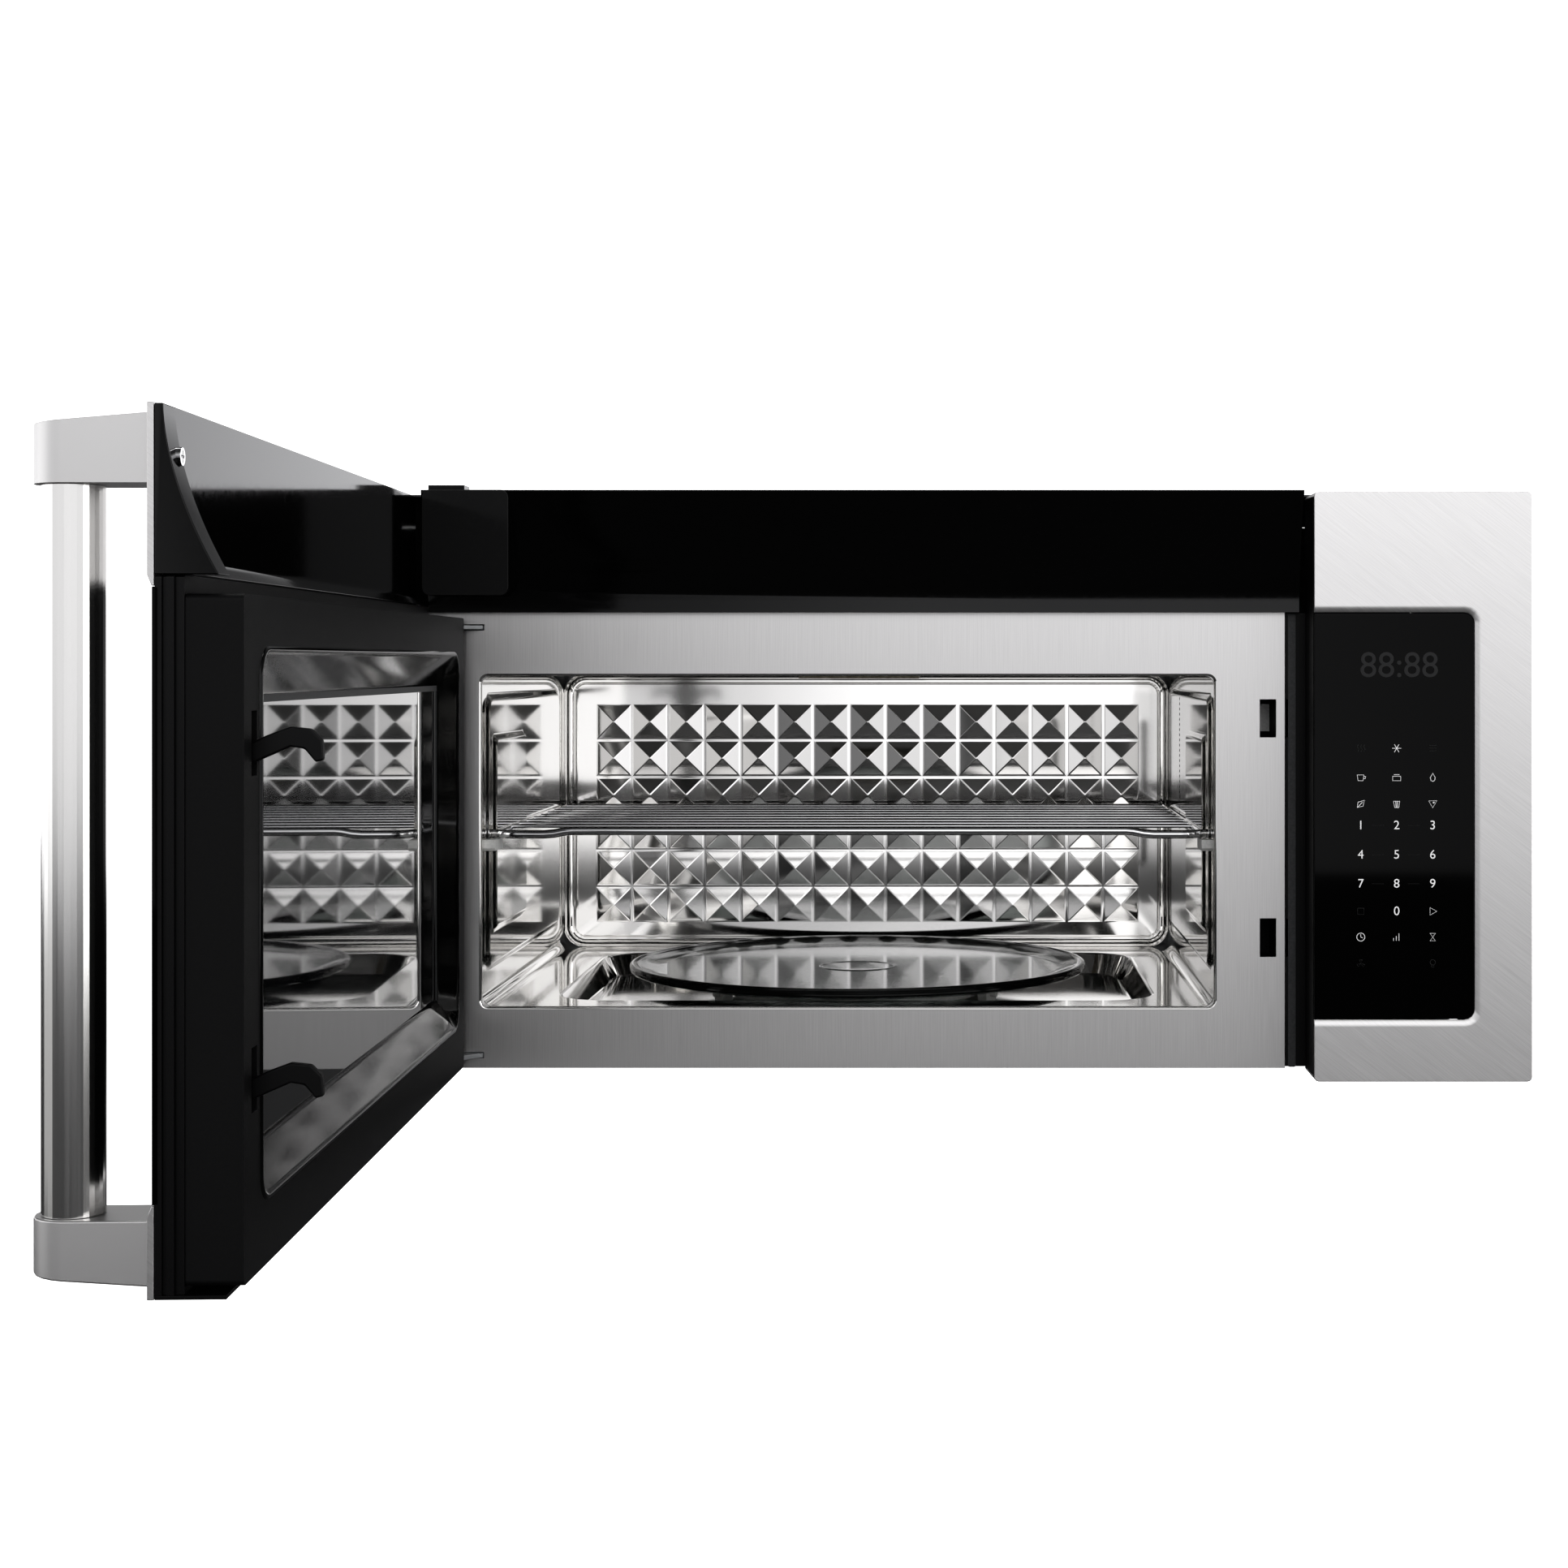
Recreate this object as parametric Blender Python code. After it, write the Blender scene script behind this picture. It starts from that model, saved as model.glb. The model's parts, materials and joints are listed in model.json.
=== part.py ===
"""A thirty-inch over-the-range convection microwave oven, standing with its door open.

Sizes are millimetres from the left side (x), behind the front flange (y) and above the underside (z).
"""

import math

import bmesh
import bpy
from mathutils import Matrix, Vector

MM = 0.001
GAP = 0.3

# The cabinet
WIDTH = 759.5
DEPTH = 385.0
HEIGHT = 394.0
WALL_CENTRE_Z = 200.0
SHEET = 1.2
FLANGE = (1.5, 600.3, 2.2, 318.0)

# The cooking space
CAVITY_X = (50.0, 551.5)
CAVITY_Z = (44.4, 270.7)
CAVITY_BACK = 366.0
WELL_X = (92.0, 516.0)
WELL_Y = (30.0, 318.0)
WELL_FLOOR = 28.0
PYRAMID_COLUMNS = 15
PYRAMID_ROWS = 6
PYRAMID_X = (75.4, 527.7)
PYRAMID_Z = (63.5, 246.0)
PYRAMID_HEIGHT = 2.4

# The turntable
TRAY_CENTRE = (300.8, 183.0)
TRAY_RADIUS = 172.0
WHEEL_RADIUS = 8.1
WHEEL_TRACK = 112.0
WHEEL_Z = WELL_FLOOR + GAP + WHEEL_RADIUS
TRAY_Z = WHEEL_Z + WHEEL_RADIUS + GAP

# The rack
RACK_X = (57.0, 544.5)
RACK_Y = (18.0, 340.0)
RACK_Z = 161.0
RACK_WIRE = 3.0
RACK_BARS = 8

# The door, drawn closed and then swung open on its pins
FRONT = -43.0
DOOR_X = (0.5, 611.0)
INNER_FACE = -1.5
PIVOT = (20.5, -21.5)
HINGE_ROUND = 20.0
OPEN_ANGLE = 88.0
FRAME_BACK = -11.8
SHOULDER_Z = 318.0
TRIM_TOP = 393.5
END_RIB = 19.7
PIN_RADIUS = 3.0
PLATE_Z = {"upper": 304.0, "lower": 11.0}
GLASS_Z = (41.6, 313.0)
BEVEL = 5.0
WINDOW_RECESS = (37.0, 578.0, 35.0, 286.0)
WINDOW_GLASS = (60.0, 555.0, 57.0, 260.0)

# The handle and the latch
HANDLE_X = 585.0
HANDLE_Y = FRONT - 39.7
HANDLE_RADIUS = 14.0
HANDLE_Z = (33.0, 359.0)
HOOK_X = (587.0, 591.5)
HOOK_Z = (232.0, 81.7)
SLOT_X = (583.2, 593.9)
SLOT_Z = ((228.8, 254.6), (78.3, 104.4))

# The control side
PANEL_X = (614.0, WIDTH)
PANEL_GLASS_RIGHT = 721.0
PANEL_BACK = 2.7

FINISHES = {
    "stainless": ((0.72, 0.72, 0.71), 0.32, 1.0),
    "polished_steel": ((0.80, 0.80, 0.80), 0.08, 1.0),
    "chrome_wire": ((0.82, 0.82, 0.83), 0.12, 1.0),
    "galvanised": ((0.55, 0.56, 0.57), 0.45, 1.0),
    "black_plastic": ((0.012, 0.012, 0.012), 0.45, 0.0),
    "gloss_black": ((0.008, 0.008, 0.008), 0.08, 0.0),
    "black_glass": ((0.006, 0.006, 0.006), 0.04, 0.0),
    "clear_glass": ((0.55, 0.60, 0.58), 0.03, 0.0),
    "white_plastic": ((0.80, 0.80, 0.78), 0.40, 0.0),
    "copper_and_iron": ((0.35, 0.20, 0.10), 0.50, 1.0),
    "board_green": ((0.02, 0.12, 0.05), 0.50, 0.0),
    "mica": ((0.45, 0.42, 0.35), 0.60, 0.0),
}


def at(x, y, z):
    """The oven's own millimetres as metres from the centre of its wall face."""
    return Vector(((x - WIDTH / 2) * MM, (y - DEPTH) * MM, (z - WALL_CENTRE_Z) * MM))


def clear_scene():
    for old in list(bpy.data.objects):
        bpy.data.objects.remove(old)


def material(name, finish):
    colour, roughness, metallic = FINISHES[finish]
    made = bpy.data.materials.new(name)
    made.use_nodes = True
    shader = made.node_tree.nodes["Principled BSDF"]
    shader.inputs["Base Color"].default_value = (*colour, 1.0)
    shader.inputs["Roughness"].default_value = roughness
    shader.inputs["Metallic"].default_value = metallic
    return made


def solid(name, finish, shape):
    """Closes a bmesh into a named object with a material of its own."""
    bmesh.ops.remove_doubles(shape, verts=shape.verts, dist=1e-7)
    bmesh.ops.recalc_face_normals(shape, faces=shape.faces)
    mesh = bpy.data.meshes.new(name)
    shape.to_mesh(mesh)
    shape.free()
    made = bpy.data.objects.new(name, mesh)
    bpy.context.scene.collection.objects.link(made)
    if finish:
        mesh.materials.append(material(name, finish))
    mesh.shade_smooth()
    mesh.set_sharp_from_angle(angle=math.radians(30))
    return made


def loft(name, finish, axis, rings):
    """Skins a row of outlines, each (position along the axis, outline), and closes both ends."""
    places = {
        "X": lambda along, a, b: at(along, a, b),
        "Y": lambda along, a, b: at(a, along, b),
        "Z": lambda along, a, b: at(a, b, along),
    }
    shape = bmesh.new()
    made = [[shape.verts.new(places[axis](along, a, b)) for a, b in outline] for along, outline in rings]
    for lower, upper in zip(made, made[1:]):
        for i in range(len(lower)):
            j = (i + 1) % len(lower)
            shape.faces.new((lower[i], lower[j], upper[j], upper[i]))
    shape.faces.new(made[0])
    shape.faces.new(made[-1])
    return solid(name, finish, shape)


def prism(name, finish, axis, low, high, outline):
    return loft(name, finish, axis, [(low, outline), (high, outline)])


def rectangle(a0, a1, b0, b1):
    return [(a0, b0), (a1, b0), (a1, b1), (a0, b1)]


def arc(a, b, radius, start, end, steps):
    angles = [math.radians(start + (end - start) * i / steps) for i in range(steps + 1)]
    return [(a + radius * math.cos(t), b + radius * math.sin(t)) for t in angles]


def rounded(a0, a1, b0, b1, radius, steps=3):
    corners = ((a1, b1, 0), (a0, b1, 90), (a0, b0, 180), (a1, b0, 270))
    points = []
    for a, b, start in corners:
        inner_a = a - radius if a == a1 else a + radius
        inner_b = b - radius if b == b1 else b + radius
        points += arc(inner_a, inner_b, radius, start, start + 90, steps)
    return points


def circle(a, b, radius, sides=24):
    return arc(a, b, radius, 0, 360 - 360 / sides, sides - 1)


def box(name, finish, x, y, z):
    return prism(name, finish, "Z", z[0], z[1], rectangle(x[0], x[1], y[0], y[1]))


def cut_box(x, y, z):
    return box("cutter", None, x, y, z)


def cut_round(axis, a, b, radius, low, high, sides=24):
    return prism("cutter", None, axis, low, high, circle(a, b, radius, sides))


def turned(name, finish, centre, profile, sides, axis="Z"):
    """Turns a closed outline of (radius, height) about a vertical axis, or one along X."""
    shape = bmesh.new()
    rings = []
    for radius, height in profile:
        ring = []
        for i in range(1 if radius == 0 else sides):
            t = 2 * math.pi * i / sides
            across, along = radius * math.cos(t), radius * math.sin(t)
            if axis == "Z":
                place = at(centre[0] + across, centre[1] + along, height)
            else:
                place = at(height, centre[0] + across, centre[1] + along)
            ring.append(shape.verts.new(place))
        rings.append(ring)
    for ring, other in zip(rings, rings[1:] + rings[:1]):
        for i in range(sides):
            j = (i + 1) % sides
            corners = [ring[i % len(ring)], ring[j % len(ring)], other[j % len(other)], other[i % len(other)]]
            whole = list(dict.fromkeys(corners))
            if len(whole) > 2:
                shape.faces.new(whole)
    return solid(name, finish, shape)


def rod(name, finish, start, end, radius, sides=8):
    start, end = at(*start), at(*end)
    run = end - start
    shape = bmesh.new()
    bmesh.ops.create_cone(
        shape,
        cap_ends=True,
        segments=sides,
        radius1=radius * MM,
        radius2=radius * MM,
        depth=run.length,
        matrix=Matrix.Translation((start + end) / 2) @ run.to_track_quat("Z", "Y").to_matrix().to_4x4(),
    )
    return solid(name, finish, shape)


def wire(name, finish, points, radius, closed, resolution):
    """A round wire along points, as a mesh."""
    curve = bpy.data.curves.new(name, "CURVE")
    curve.dimensions = "3D"
    curve.bevel_depth = radius * MM
    curve.bevel_resolution = resolution
    curve.use_fill_caps = True
    spline = curve.splines.new("POLY")
    spline.points.add(len(points) - 1)
    spline.use_cyclic_u = closed
    for point, place in zip(spline.points, points):
        point.co = (*at(*place), 1.0)
    guide = bpy.data.objects.new(name + "_guide", curve)
    bpy.context.scene.collection.objects.link(guide)
    bpy.context.view_layer.update()
    shape = bmesh.new()
    shape.from_mesh(guide.to_mesh())
    guide.to_mesh_clear()
    bpy.data.objects.remove(guide)
    return solid(name, finish, shape)


def boolean(made, operation, others):
    for other in others:
        modifier = made.modifiers.new(operation, "BOOLEAN")
        modifier.operation = operation
        modifier.object = other
        modifier.solver = "EXACT"
    bpy.context.view_layer.update()
    graph = bpy.context.evaluated_depsgraph_get()
    result = bpy.data.meshes.new_from_object(made.evaluated_get(graph))
    made.modifiers.clear()
    made.data = result
    for other in others:
        bpy.data.objects.remove(other)
    return made


def cut(made, *others):
    return boolean(made, "DIFFERENCE", others)


def join(made, *others):
    return boolean(made, "UNION", others)


# The cabinet's shell


def cabinet_shell():
    wrap = box("cabinet_wrap", "galvanised", (1, WIDTH - 1), (3, 384.7), (8, 395))
    cut(
        wrap,
        cut_box((2.5, WIDTH - 2.5), (0, 390), (0, 393.5)),
        cut_box((272, 352), (276, 344), (390, 400)),
        cut_round("Z", 700, 330, 9, 390, 400),
    )
    rear = box("rear_panel", "galvanised", (3, WIDTH - 3), (383.4, DEPTH), (4.6, 393.1))
    cut(rear, cut_box((150, 210), (380, 390), (30, 38)), cut_box((550, 610), (380, 390), (30, 38)))
    pan = box("base_pan", "black_plastic", (3, WIDTH - 3), (3, 384.7), (3, 4.2))
    filters = [cut_box((x0, x0 + 224), (168, 312), (0, 10)) for x0 in (48, 328)]
    vents = [cut_box((640, 730), (60 + 14 * i, 66 + 14 * i), (0, 10)) for i in range(8)]
    cut(pan, cut_box((230, 330), (28, 92), (0, 10)), *filters, *vents)
    for side, x0 in (("left", 48), ("right", 328)):
        grease_filter("grease_filter_" + side, x0)
    lens = box("cooktop_lamp_lens", "clear_glass", (230.5, 329.5), (28.5, 91.5), (3, 6))
    join(lens, box("cutter", None, (226, 334), (24, 96), (4.5, 6.5)))
    inside = [(8.6, 395.3), (8.6, 393.2), (10.5, 393.2), (10.5, 391)]
    outside = [(5, 391), (5, 398), (12, 398), (12, 395.3)]
    turned("cord_bushing", "black_plastic", (700, 330), outside + inside, 16)


def grease_filter(name, x0):
    """A framed mesh pad that hangs in the pan's opening."""
    made = box(name, "galvanised", (x0 + 0.5, x0 + 223.5), (168.5, 311.5), (3.3, 12))
    ribs = [cut_box((x0 + 12 + 20 * i, x0 + 24 + 20 * i), (180, 300), (0, 5)) for i in range(10)]
    return cut(made, *ribs)


def front_frame():
    made = prism("front_frame", "stainless", "Y", 0, SHEET, rectangle(*FLANGE))
    cutters = [prism("cutter", None, "Y", -5, 5, rounded(*CAVITY_X, *CAVITY_Z, 6, 3))]
    cutters += [cut_box(SLOT_X, (-5, 5), z) for z in SLOT_Z]
    cutters += [cut_box((31.5, 51.5), (-5, 5), (z - 2, z + 2)) for z in PLATE_Z.values()]
    cut(made, *cutters)


def vent_fascia():
    """The glossy moulding over the oven, whose face curves out towards its top edge."""
    face = [(-8, 314)] + [(-8 - 24 * (i / 8) ** 1.75, 320 + 74 * i / 8) for i in range(9)]
    outline = face + [(-32, 396), (PANEL_BACK, 396), (PANEL_BACK, 319), (-GAP, 319), (-GAP, 314)]
    made = prism("vent_fascia", "gloss_black", "X", 15, 609, outline)
    hollow = [(y + 3, z) for y, z in face[2:-1]] + [(-26, 393), (8, 393), (8, 322), (-4, 322)]
    cut(made, prism("cutter", None, "X", 18, 606, hollow))
    block = prism("cutter", None, "Y", -33, -4, rounded(16, 74, 325, 395.8, 5))
    tab = box("cutter", None, (17.5, 42), (-20, -2), (390, 400))
    join(made, block, tab)


def hinge_bracket(which):
    """A flat plate that comes out through the flange and carries the door's pin."""
    z = PLATE_Z[which]
    side = -1 if which == "upper" else 1
    tip = arc(*PIVOT, 8, 150, 320, 8)
    outline = tip + [(51, 0), (51, 8), (32, 8), (32, 0)]
    plate = prism("hinge_bracket_" + which, "galvanised", "Z", z - 1.5, z + 1.5, outline)
    pin = cut_round("Z", *PIVOT, PIN_RADIUS, z - 8, z + 8, 16)
    near, far = z - side * 1.5, z + side * 22
    tab = box("cutter", None, (28, 55), (1.6, 3.4), (min(near, far), max(near, far)))
    join(plate, pin, tab)


# The cooking space


def cavity():
    x0, x1 = CAVITY_X
    z0, z1 = CAVITY_Z
    rails = [("left", x0 - SHEET, x0), ("right", x1, x1 + SHEET)]
    for side, low, high in rails:
        wall = box(f"cavity_{side}_wall", "polished_steel", (low, high), (1.5, 365.7), (z0 + GAP, z1 - GAP))
        holes = [cut_box((low - 5, high + 5), (y - 0.5, y + 31.5), (149.5, 165.5)) for y in (9, 309)]
        if side == "right":
            for i in range(3):
                for j in range(12):
                    holes.append(cut_round("X", 105 + 8 * i, 120 + 8 * j, 2, low - 5, high + 5, 6))
        cut(wall, *holes)
    across = (x0 - SHEET, x1 + SHEET)
    ceiling = box("cavity_ceiling", "polished_steel", across, (1.5, 365.7), (z1, z1 + SHEET))
    lamp_hole = cut_round("Z", 110, 310, 14, z1 - 5, z1 + 5, 16)
    cut(ceiling, cut_box((270, 340), (90, 160), (z1 - 5, z1 + 5)), lamp_hole)
    floor = box("cavity_floor", "polished_steel", (x0 - SHEET, x1 + SHEET), (1.5, 365.7), (z0 - SHEET, z0))
    rim = (WELL_X[0] - SHEET, WELL_X[1] + SHEET, WELL_Y[0] - SHEET, WELL_Y[1] + SHEET)
    well = prism("cutter", None, "Z", WELL_FLOOR - SHEET, z0, rounded(*rim, 40, 5))
    hollow = prism("cutter", None, "Z", WELL_FLOOR, z0 + 5, rounded(*WELL_X, *WELL_Y, 39, 5))
    join(floor, well)
    cut(floor, hollow, cut_round("Z", *TRAY_CENTRE, 8, 0, 50, 16))
    back_wall()
    box("waveguide_cover", "mica", (262, 348), (82, 168), (z1 - 2.1, z1 - GAP))


def back_wall():
    """The back of the cavity, pressed with a field of four-sided points."""
    shape = bmesh.new()
    width = (PYRAMID_X[1] - PYRAMID_X[0]) / PYRAMID_COLUMNS
    height = (PYRAMID_Z[1] - PYRAMID_Z[0]) / PYRAMID_ROWS
    grid = {}
    for i in range(PYRAMID_COLUMNS + 1):
        for j in range(PYRAMID_ROWS + 1):
            grid[i, j] = shape.verts.new(at(PYRAMID_X[0] + width * i, CAVITY_BACK, PYRAMID_Z[0] + height * j))
    for i in range(PYRAMID_COLUMNS):
        for j in range(PYRAMID_ROWS):
            x = PYRAMID_X[0] + width * (i + 0.5)
            z = PYRAMID_Z[0] + height * (j + 0.5)
            apex = shape.verts.new(at(x, CAVITY_BACK - PYRAMID_HEIGHT, z))
            ring = [grid[i, j], grid[i + 1, j], grid[i + 1, j + 1], grid[i, j + 1]]
            for k in range(4):
                shape.faces.new((ring[k], ring[(k + 1) % 4], apex))
    x0, x1 = CAVITY_X[0] - SHEET, CAVITY_X[1] + SHEET
    z0, z1 = CAVITY_Z[0] - SHEET, CAVITY_Z[1] + SHEET
    columns, rows = PYRAMID_COLUMNS, PYRAMID_ROWS
    field = [grid[i, 0] for i in range(columns + 1)] + [grid[columns, j] for j in range(1, rows + 1)]
    field += [grid[i, rows] for i in range(columns - 1, -1, -1)]
    field += [grid[0, j] for j in range(rows - 1, 0, -1)]
    front = [shape.verts.new(at(x, CAVITY_BACK, z)) for x, z in rectangle(x0, x1, z0, z1)]
    rear = [shape.verts.new(at(x, CAVITY_BACK + SHEET, z)) for x, z in rectangle(x0, x1, z0, z1)]
    starts = (0, columns, columns + rows, 2 * columns + rows)
    for k in range(4):
        run = field[starts[k] :] + field[:1] if k == 3 else field[starts[k] : starts[k + 1] + 1]
        shape.faces.new([front[k], front[(k + 1) % 4]] + run[::-1])
        shape.faces.new((front[k], front[(k + 1) % 4], rear[(k + 1) % 4], rear[k]))
    shape.faces.new(rear)
    solid("cavity_back_wall", "polished_steel", shape)


def rack_rails():
    """Clip-in strips behind the side walls, each with two ledges that come through."""
    for side, wall, inward in (("left", CAVITY_X[0], 1), ("right", CAVITY_X[1], -1)):
        behind = wall - inward * (SHEET + GAP)
        tip = wall + inward * 7.5
        outer = behind - inward * 2.5
        strip = box(f"rack_rail_{side}", "white_plastic", sorted((outer, behind)), (5, 345), (149, 166))
        ledges = []
        for y in (9, 309):
            outline = [(y, 157.7), (y, 152), (y + 2, 150), (y + 29, 150), (y + 31, 152), (y + 31, 157.7)]
            low, high = sorted((behind - inward, tip))
            ledges.append(prism("cutter", None, "X", low, high, outline))
        join(strip, *ledges)


def spoke(reach, radius):
    """The point at this radius on a line from the tray's centre, at the height of the axles."""
    return (TRAY_CENTRE[0] + radius * reach.x, TRAY_CENTRE[1] + radius * reach.y, WHEEL_Z)


def turntable():
    r = TRAY_RADIUS
    z = TRAY_Z
    profile = [(0, z), (150, z), (162, z + 2.2), (r - 1, z + 4), (r, z + 5.5), (r, z + 9), (r - 1.5, z + 10)]
    profile += [(r - 4, z + 9.4), (r - 10, z + 7.4), (150, z + 5), (0, z + 5)]
    turned("glass_tray", "clear_glass", TRAY_CENTRE, profile, 72)
    hub = prism("drive_coupler", "white_plastic", "Z", 29, z - GAP, circle(*TRAY_CENTRE, 6.5, 12))
    arms = []
    for k in range(3):
        t = math.radians(90 + 120 * k)
        reach = (math.cos(t), math.sin(t))
        start = (*TRAY_CENTRE, z - 5)
        end = (TRAY_CENTRE[0] + 26 * reach[0], TRAY_CENTRE[1] + 26 * reach[1], z - 5)
        arms.append(rod("cutter", None, start, end, 3.6))
    join(hub, *arms)
    cut(hub, cut_round("Z", *TRAY_CENTRE, 3.3, 20, 36, 12))
    motor = prism("turntable_motor", "galvanised", "Z", 7, 22, circle(*TRAY_CENTRE, 25, 24))
    join(motor, cut_round("Z", *TRAY_CENTRE, 3, 20, 34, 12))
    ring = [(96, WHEEL_Z - 3), (102, WHEEL_Z - 3), (102, WHEEL_Z + 3), (96, WHEEL_Z + 3)]
    made = turned("roller_ring", "white_plastic", TRAY_CENTRE, ring, 36)
    axles = []
    for k in range(3):
        t = math.radians(90 + 120 * k)
        reach = Vector((math.cos(t), math.sin(t)))
        axles.append(rod("cutter", None, spoke(reach, 99), spoke(reach, 120), 2.1, 12))
        ends = (spoke(reach, WHEEL_TRACK - 4), spoke(reach, WHEEL_TRACK + 4))
        wheel = rod(f"roller_wheel_{k + 1}", "white_plastic", *ends, WHEEL_RADIUS, 24)
        cut(wheel, rod("cutter", None, spoke(reach, 100), spoke(reach, 124), 2.4, 12))
    join(made, *axles)


def wire_rack():
    """A rounded frame of thick wire under a row of thin cross wires."""
    x0, x1 = RACK_X
    y0, y1 = RACK_Y
    loop = [(x, y, RACK_Z) for x, y in rounded(x0, x1, y0, y1, 14, 3)]
    frame = wire("wire_rack", "chrome_wire", loop, RACK_WIRE, True, 1)
    pitch = (y1 - y0) / (RACK_BARS + 1)
    bars = []
    for i in range(RACK_BARS):
        y = y0 + pitch * (i + 1)
        bars.append(rod("cutter", None, (x0 - 0.4, y, RACK_Z + 2.6), (x1 + 0.4, y, RACK_Z + 2.6), 1.9, 6))
    for x in (180, 300.75, 421.5):
        bars.append(rod("cutter", None, (x, y0 - 0.5, RACK_Z + 0.2), (x, y1 + 0.5, RACK_Z + 0.2), 1.7, 6))
    join(frame, *bars)


# The works inside


def works():
    guide = box("waveguide", "galvanised", (250, 424), (78, 172), (272.4, 306))
    duct = cut_box((251.5, 422.5), (79.5, 170.5), (270, 304.5))
    cut(guide, duct, cut_round("Z", 392, 125, 11, 300, 310, 16))
    magnetron = box("magnetron", "galvanised", (352, 432), (85, 165), (306.5, 372))
    fins = [cut_box((345, 440), (89 + 12 * i, 96 + 12 * i), (314, 364)) for i in range(6)]
    cut(magnetron, *fins)
    join(magnetron, cut_round("Z", 392, 125, 20, 308, 370, 16), cut_round("Z", 392, 125, 9, 285, 312, 16))
    core = box("high_voltage_transformer", "copper_and_iron", (630, 730), (140, 225), (4.6, 90))
    cut(core, cut_box((655, 705), (138, 150), (25, 70)), cut_box((655, 705), (215, 230), (25, 70)))
    prism("high_voltage_capacitor", "galvanised", "Z", 5, 95, rounded(635, 690, 262, 296, 16, 4))
    board = box("control_board", "board_green", (620, 712), (-33, -31.4), (55, 300))
    display = box("cutter", None, (640, 700), (-37.4, -32), (255, 290))
    join(board, display, box("cutter", None, (630, 660), (-32, -10), (70, 110)))
    blower()
    convection()
    bulb = [(0, 273.5), (8, 276), (11, 284), (8, 294), (8, 312), (0, 312)]
    turned("cavity_lamp", "clear_glass", (110, 310), bulb, 16)
    latch_bracket()
    damper()


def blower():
    y, z = 312, 333
    outline = rounded(y - 56, y + 56, z - 57, z + 57.5, 30, 4)
    body = prism("blower_housing", "galvanised", "X", 250, 372, outline)
    hollow = prism("cutter", None, "X", 252, 370, rounded(y - 54, y + 54, z - 55, z + 55.5, 28, 4))
    throat = cut_box((272, 352), (276, 344), (z + 40, z + 70))
    cut(body, hollow, throat, cut_round("X", y, z, 34, 245, 256), cut_round("X", y, z, 7, 365, 380, 12))
    vanes = 12
    disc = [(0, 300), (46, 300), (46, 303), (0, 303)]
    wheel = turned("blower_wheel", "black_plastic", (y, z), disc, 24, "X")
    blades = []
    for k in range(vanes):
        t = 2 * math.pi * k / vanes
        cy, cz = y + 42 * math.cos(t), z + 42 * math.sin(t)
        lean = (3 * math.cos(t + 0.6), 3 * math.sin(t + 0.6))
        ends = [(cy - lean[0], cz - lean[1]), (cy + lean[0], cz + lean[1])]
        across = (-math.sin(t + 0.6) * 0.8, math.cos(t + 0.6) * 0.8)
        outline = [(p[0] + across[0], p[1] + across[1]) for p in ends]
        outline += [(p[0] - across[0], p[1] - across[1]) for p in ends[::-1]]
        blades.append(prism("cutter", None, "X", 260, 360, outline))
    join(wheel, *blades, cut_round("X", y, z, 4, 270, 380, 12))
    motor = prism("vent_motor", "galvanised", "X", 376, 440, circle(y, z, 38))
    cut(motor, cut_round("X", y, z, 4.4, 370, 384, 12))


def convection():
    """The fan and ring heater that blow hot air in through the right-hand wall."""
    y, z = 190, 160
    pan = box("convection_housing", "galvanised", (556, 592), (90, 290), (70, 250))
    cut(pan, cut_box((550, 590.5), (91.5, 288.5), (71.5, 248.5)), cut_round("X", y, z, 6, 585, 600, 16))
    angles = [math.pi * k / 3 for k in range(6)]
    heater_ring = [(80 + 3.5 * math.cos(t), 572 + 3.5 * math.sin(t)) for t in angles]
    turned("convection_heater", "galvanised", (y, z), heater_ring, 32, "X")
    fan = turned("convection_fan", "galvanised", (y, z), [(0, 568), (24, 568), (24, 570), (0, 570)], 24, "X")
    blades = []
    for k in range(6):
        t = math.radians(60 * k)
        root = (y + 18 * math.cos(t), z + 18 * math.sin(t))
        tip = (y + 68 * math.cos(t), z + 68 * math.sin(t))
        across = (-math.sin(t) * 9, math.cos(t) * 9)
        corners = ((root, 1), (root, -1), (tip, -1), (tip, 1))
        outline = [(p[0] + s * across[0], p[1] + s * across[1]) for p, s in corners]
        blades.append(prism("cutter", None, "X", 567.5, 570.5, outline))
    join(fan, *blades, cut_round("X", y, z, 3, 565, 600, 12))
    motor = prism("convection_motor", "galvanised", "X", 594, 640, circle(y, z, 30))
    cut(motor, cut_round("X", y, z, 3.4, 590, 604, 12))


def latch_bracket():
    """Holds the door switches behind the flange, with a pocket for each latch hook."""
    made = box("latch_bracket", "black_plastic", (575, 599), (1.6, 46), (66, 268))
    pockets = [cut_box((582.5, 594.6), (0, 42), (low - 2, high + 2)) for low, high in SLOT_Z]
    guide = cut_round("Y", 588.5, 241.5, 2.5, 40, 50, 12)
    cut(made, *pockets, guide)
    lever = box("interlock_plunger", "white_plastic", (583.5, 593.5), (31.5, 34), (232, 251))
    join(lever, cut_round("Y", 588.5, 241.5, 2.1, 33, 50, 12))


def damper():
    """The exhaust collar on the top, closed by a flap that the air lifts."""
    collar = box("damper_frame", "galvanised", (262, 362), (268, 352), (395.3, 407))
    cut(collar, cut_box((264, 360), (270, 350), (390, 410)))
    flap = box("damper_flap", "galvanised", (264.6, 359.4), (271, 348.5), (400.6, 402))
    pin = cut_round("X", 346, 401.3, 1.3, 264.6, 359.4, 10)
    join(flap, pin)


# The control side


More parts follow.
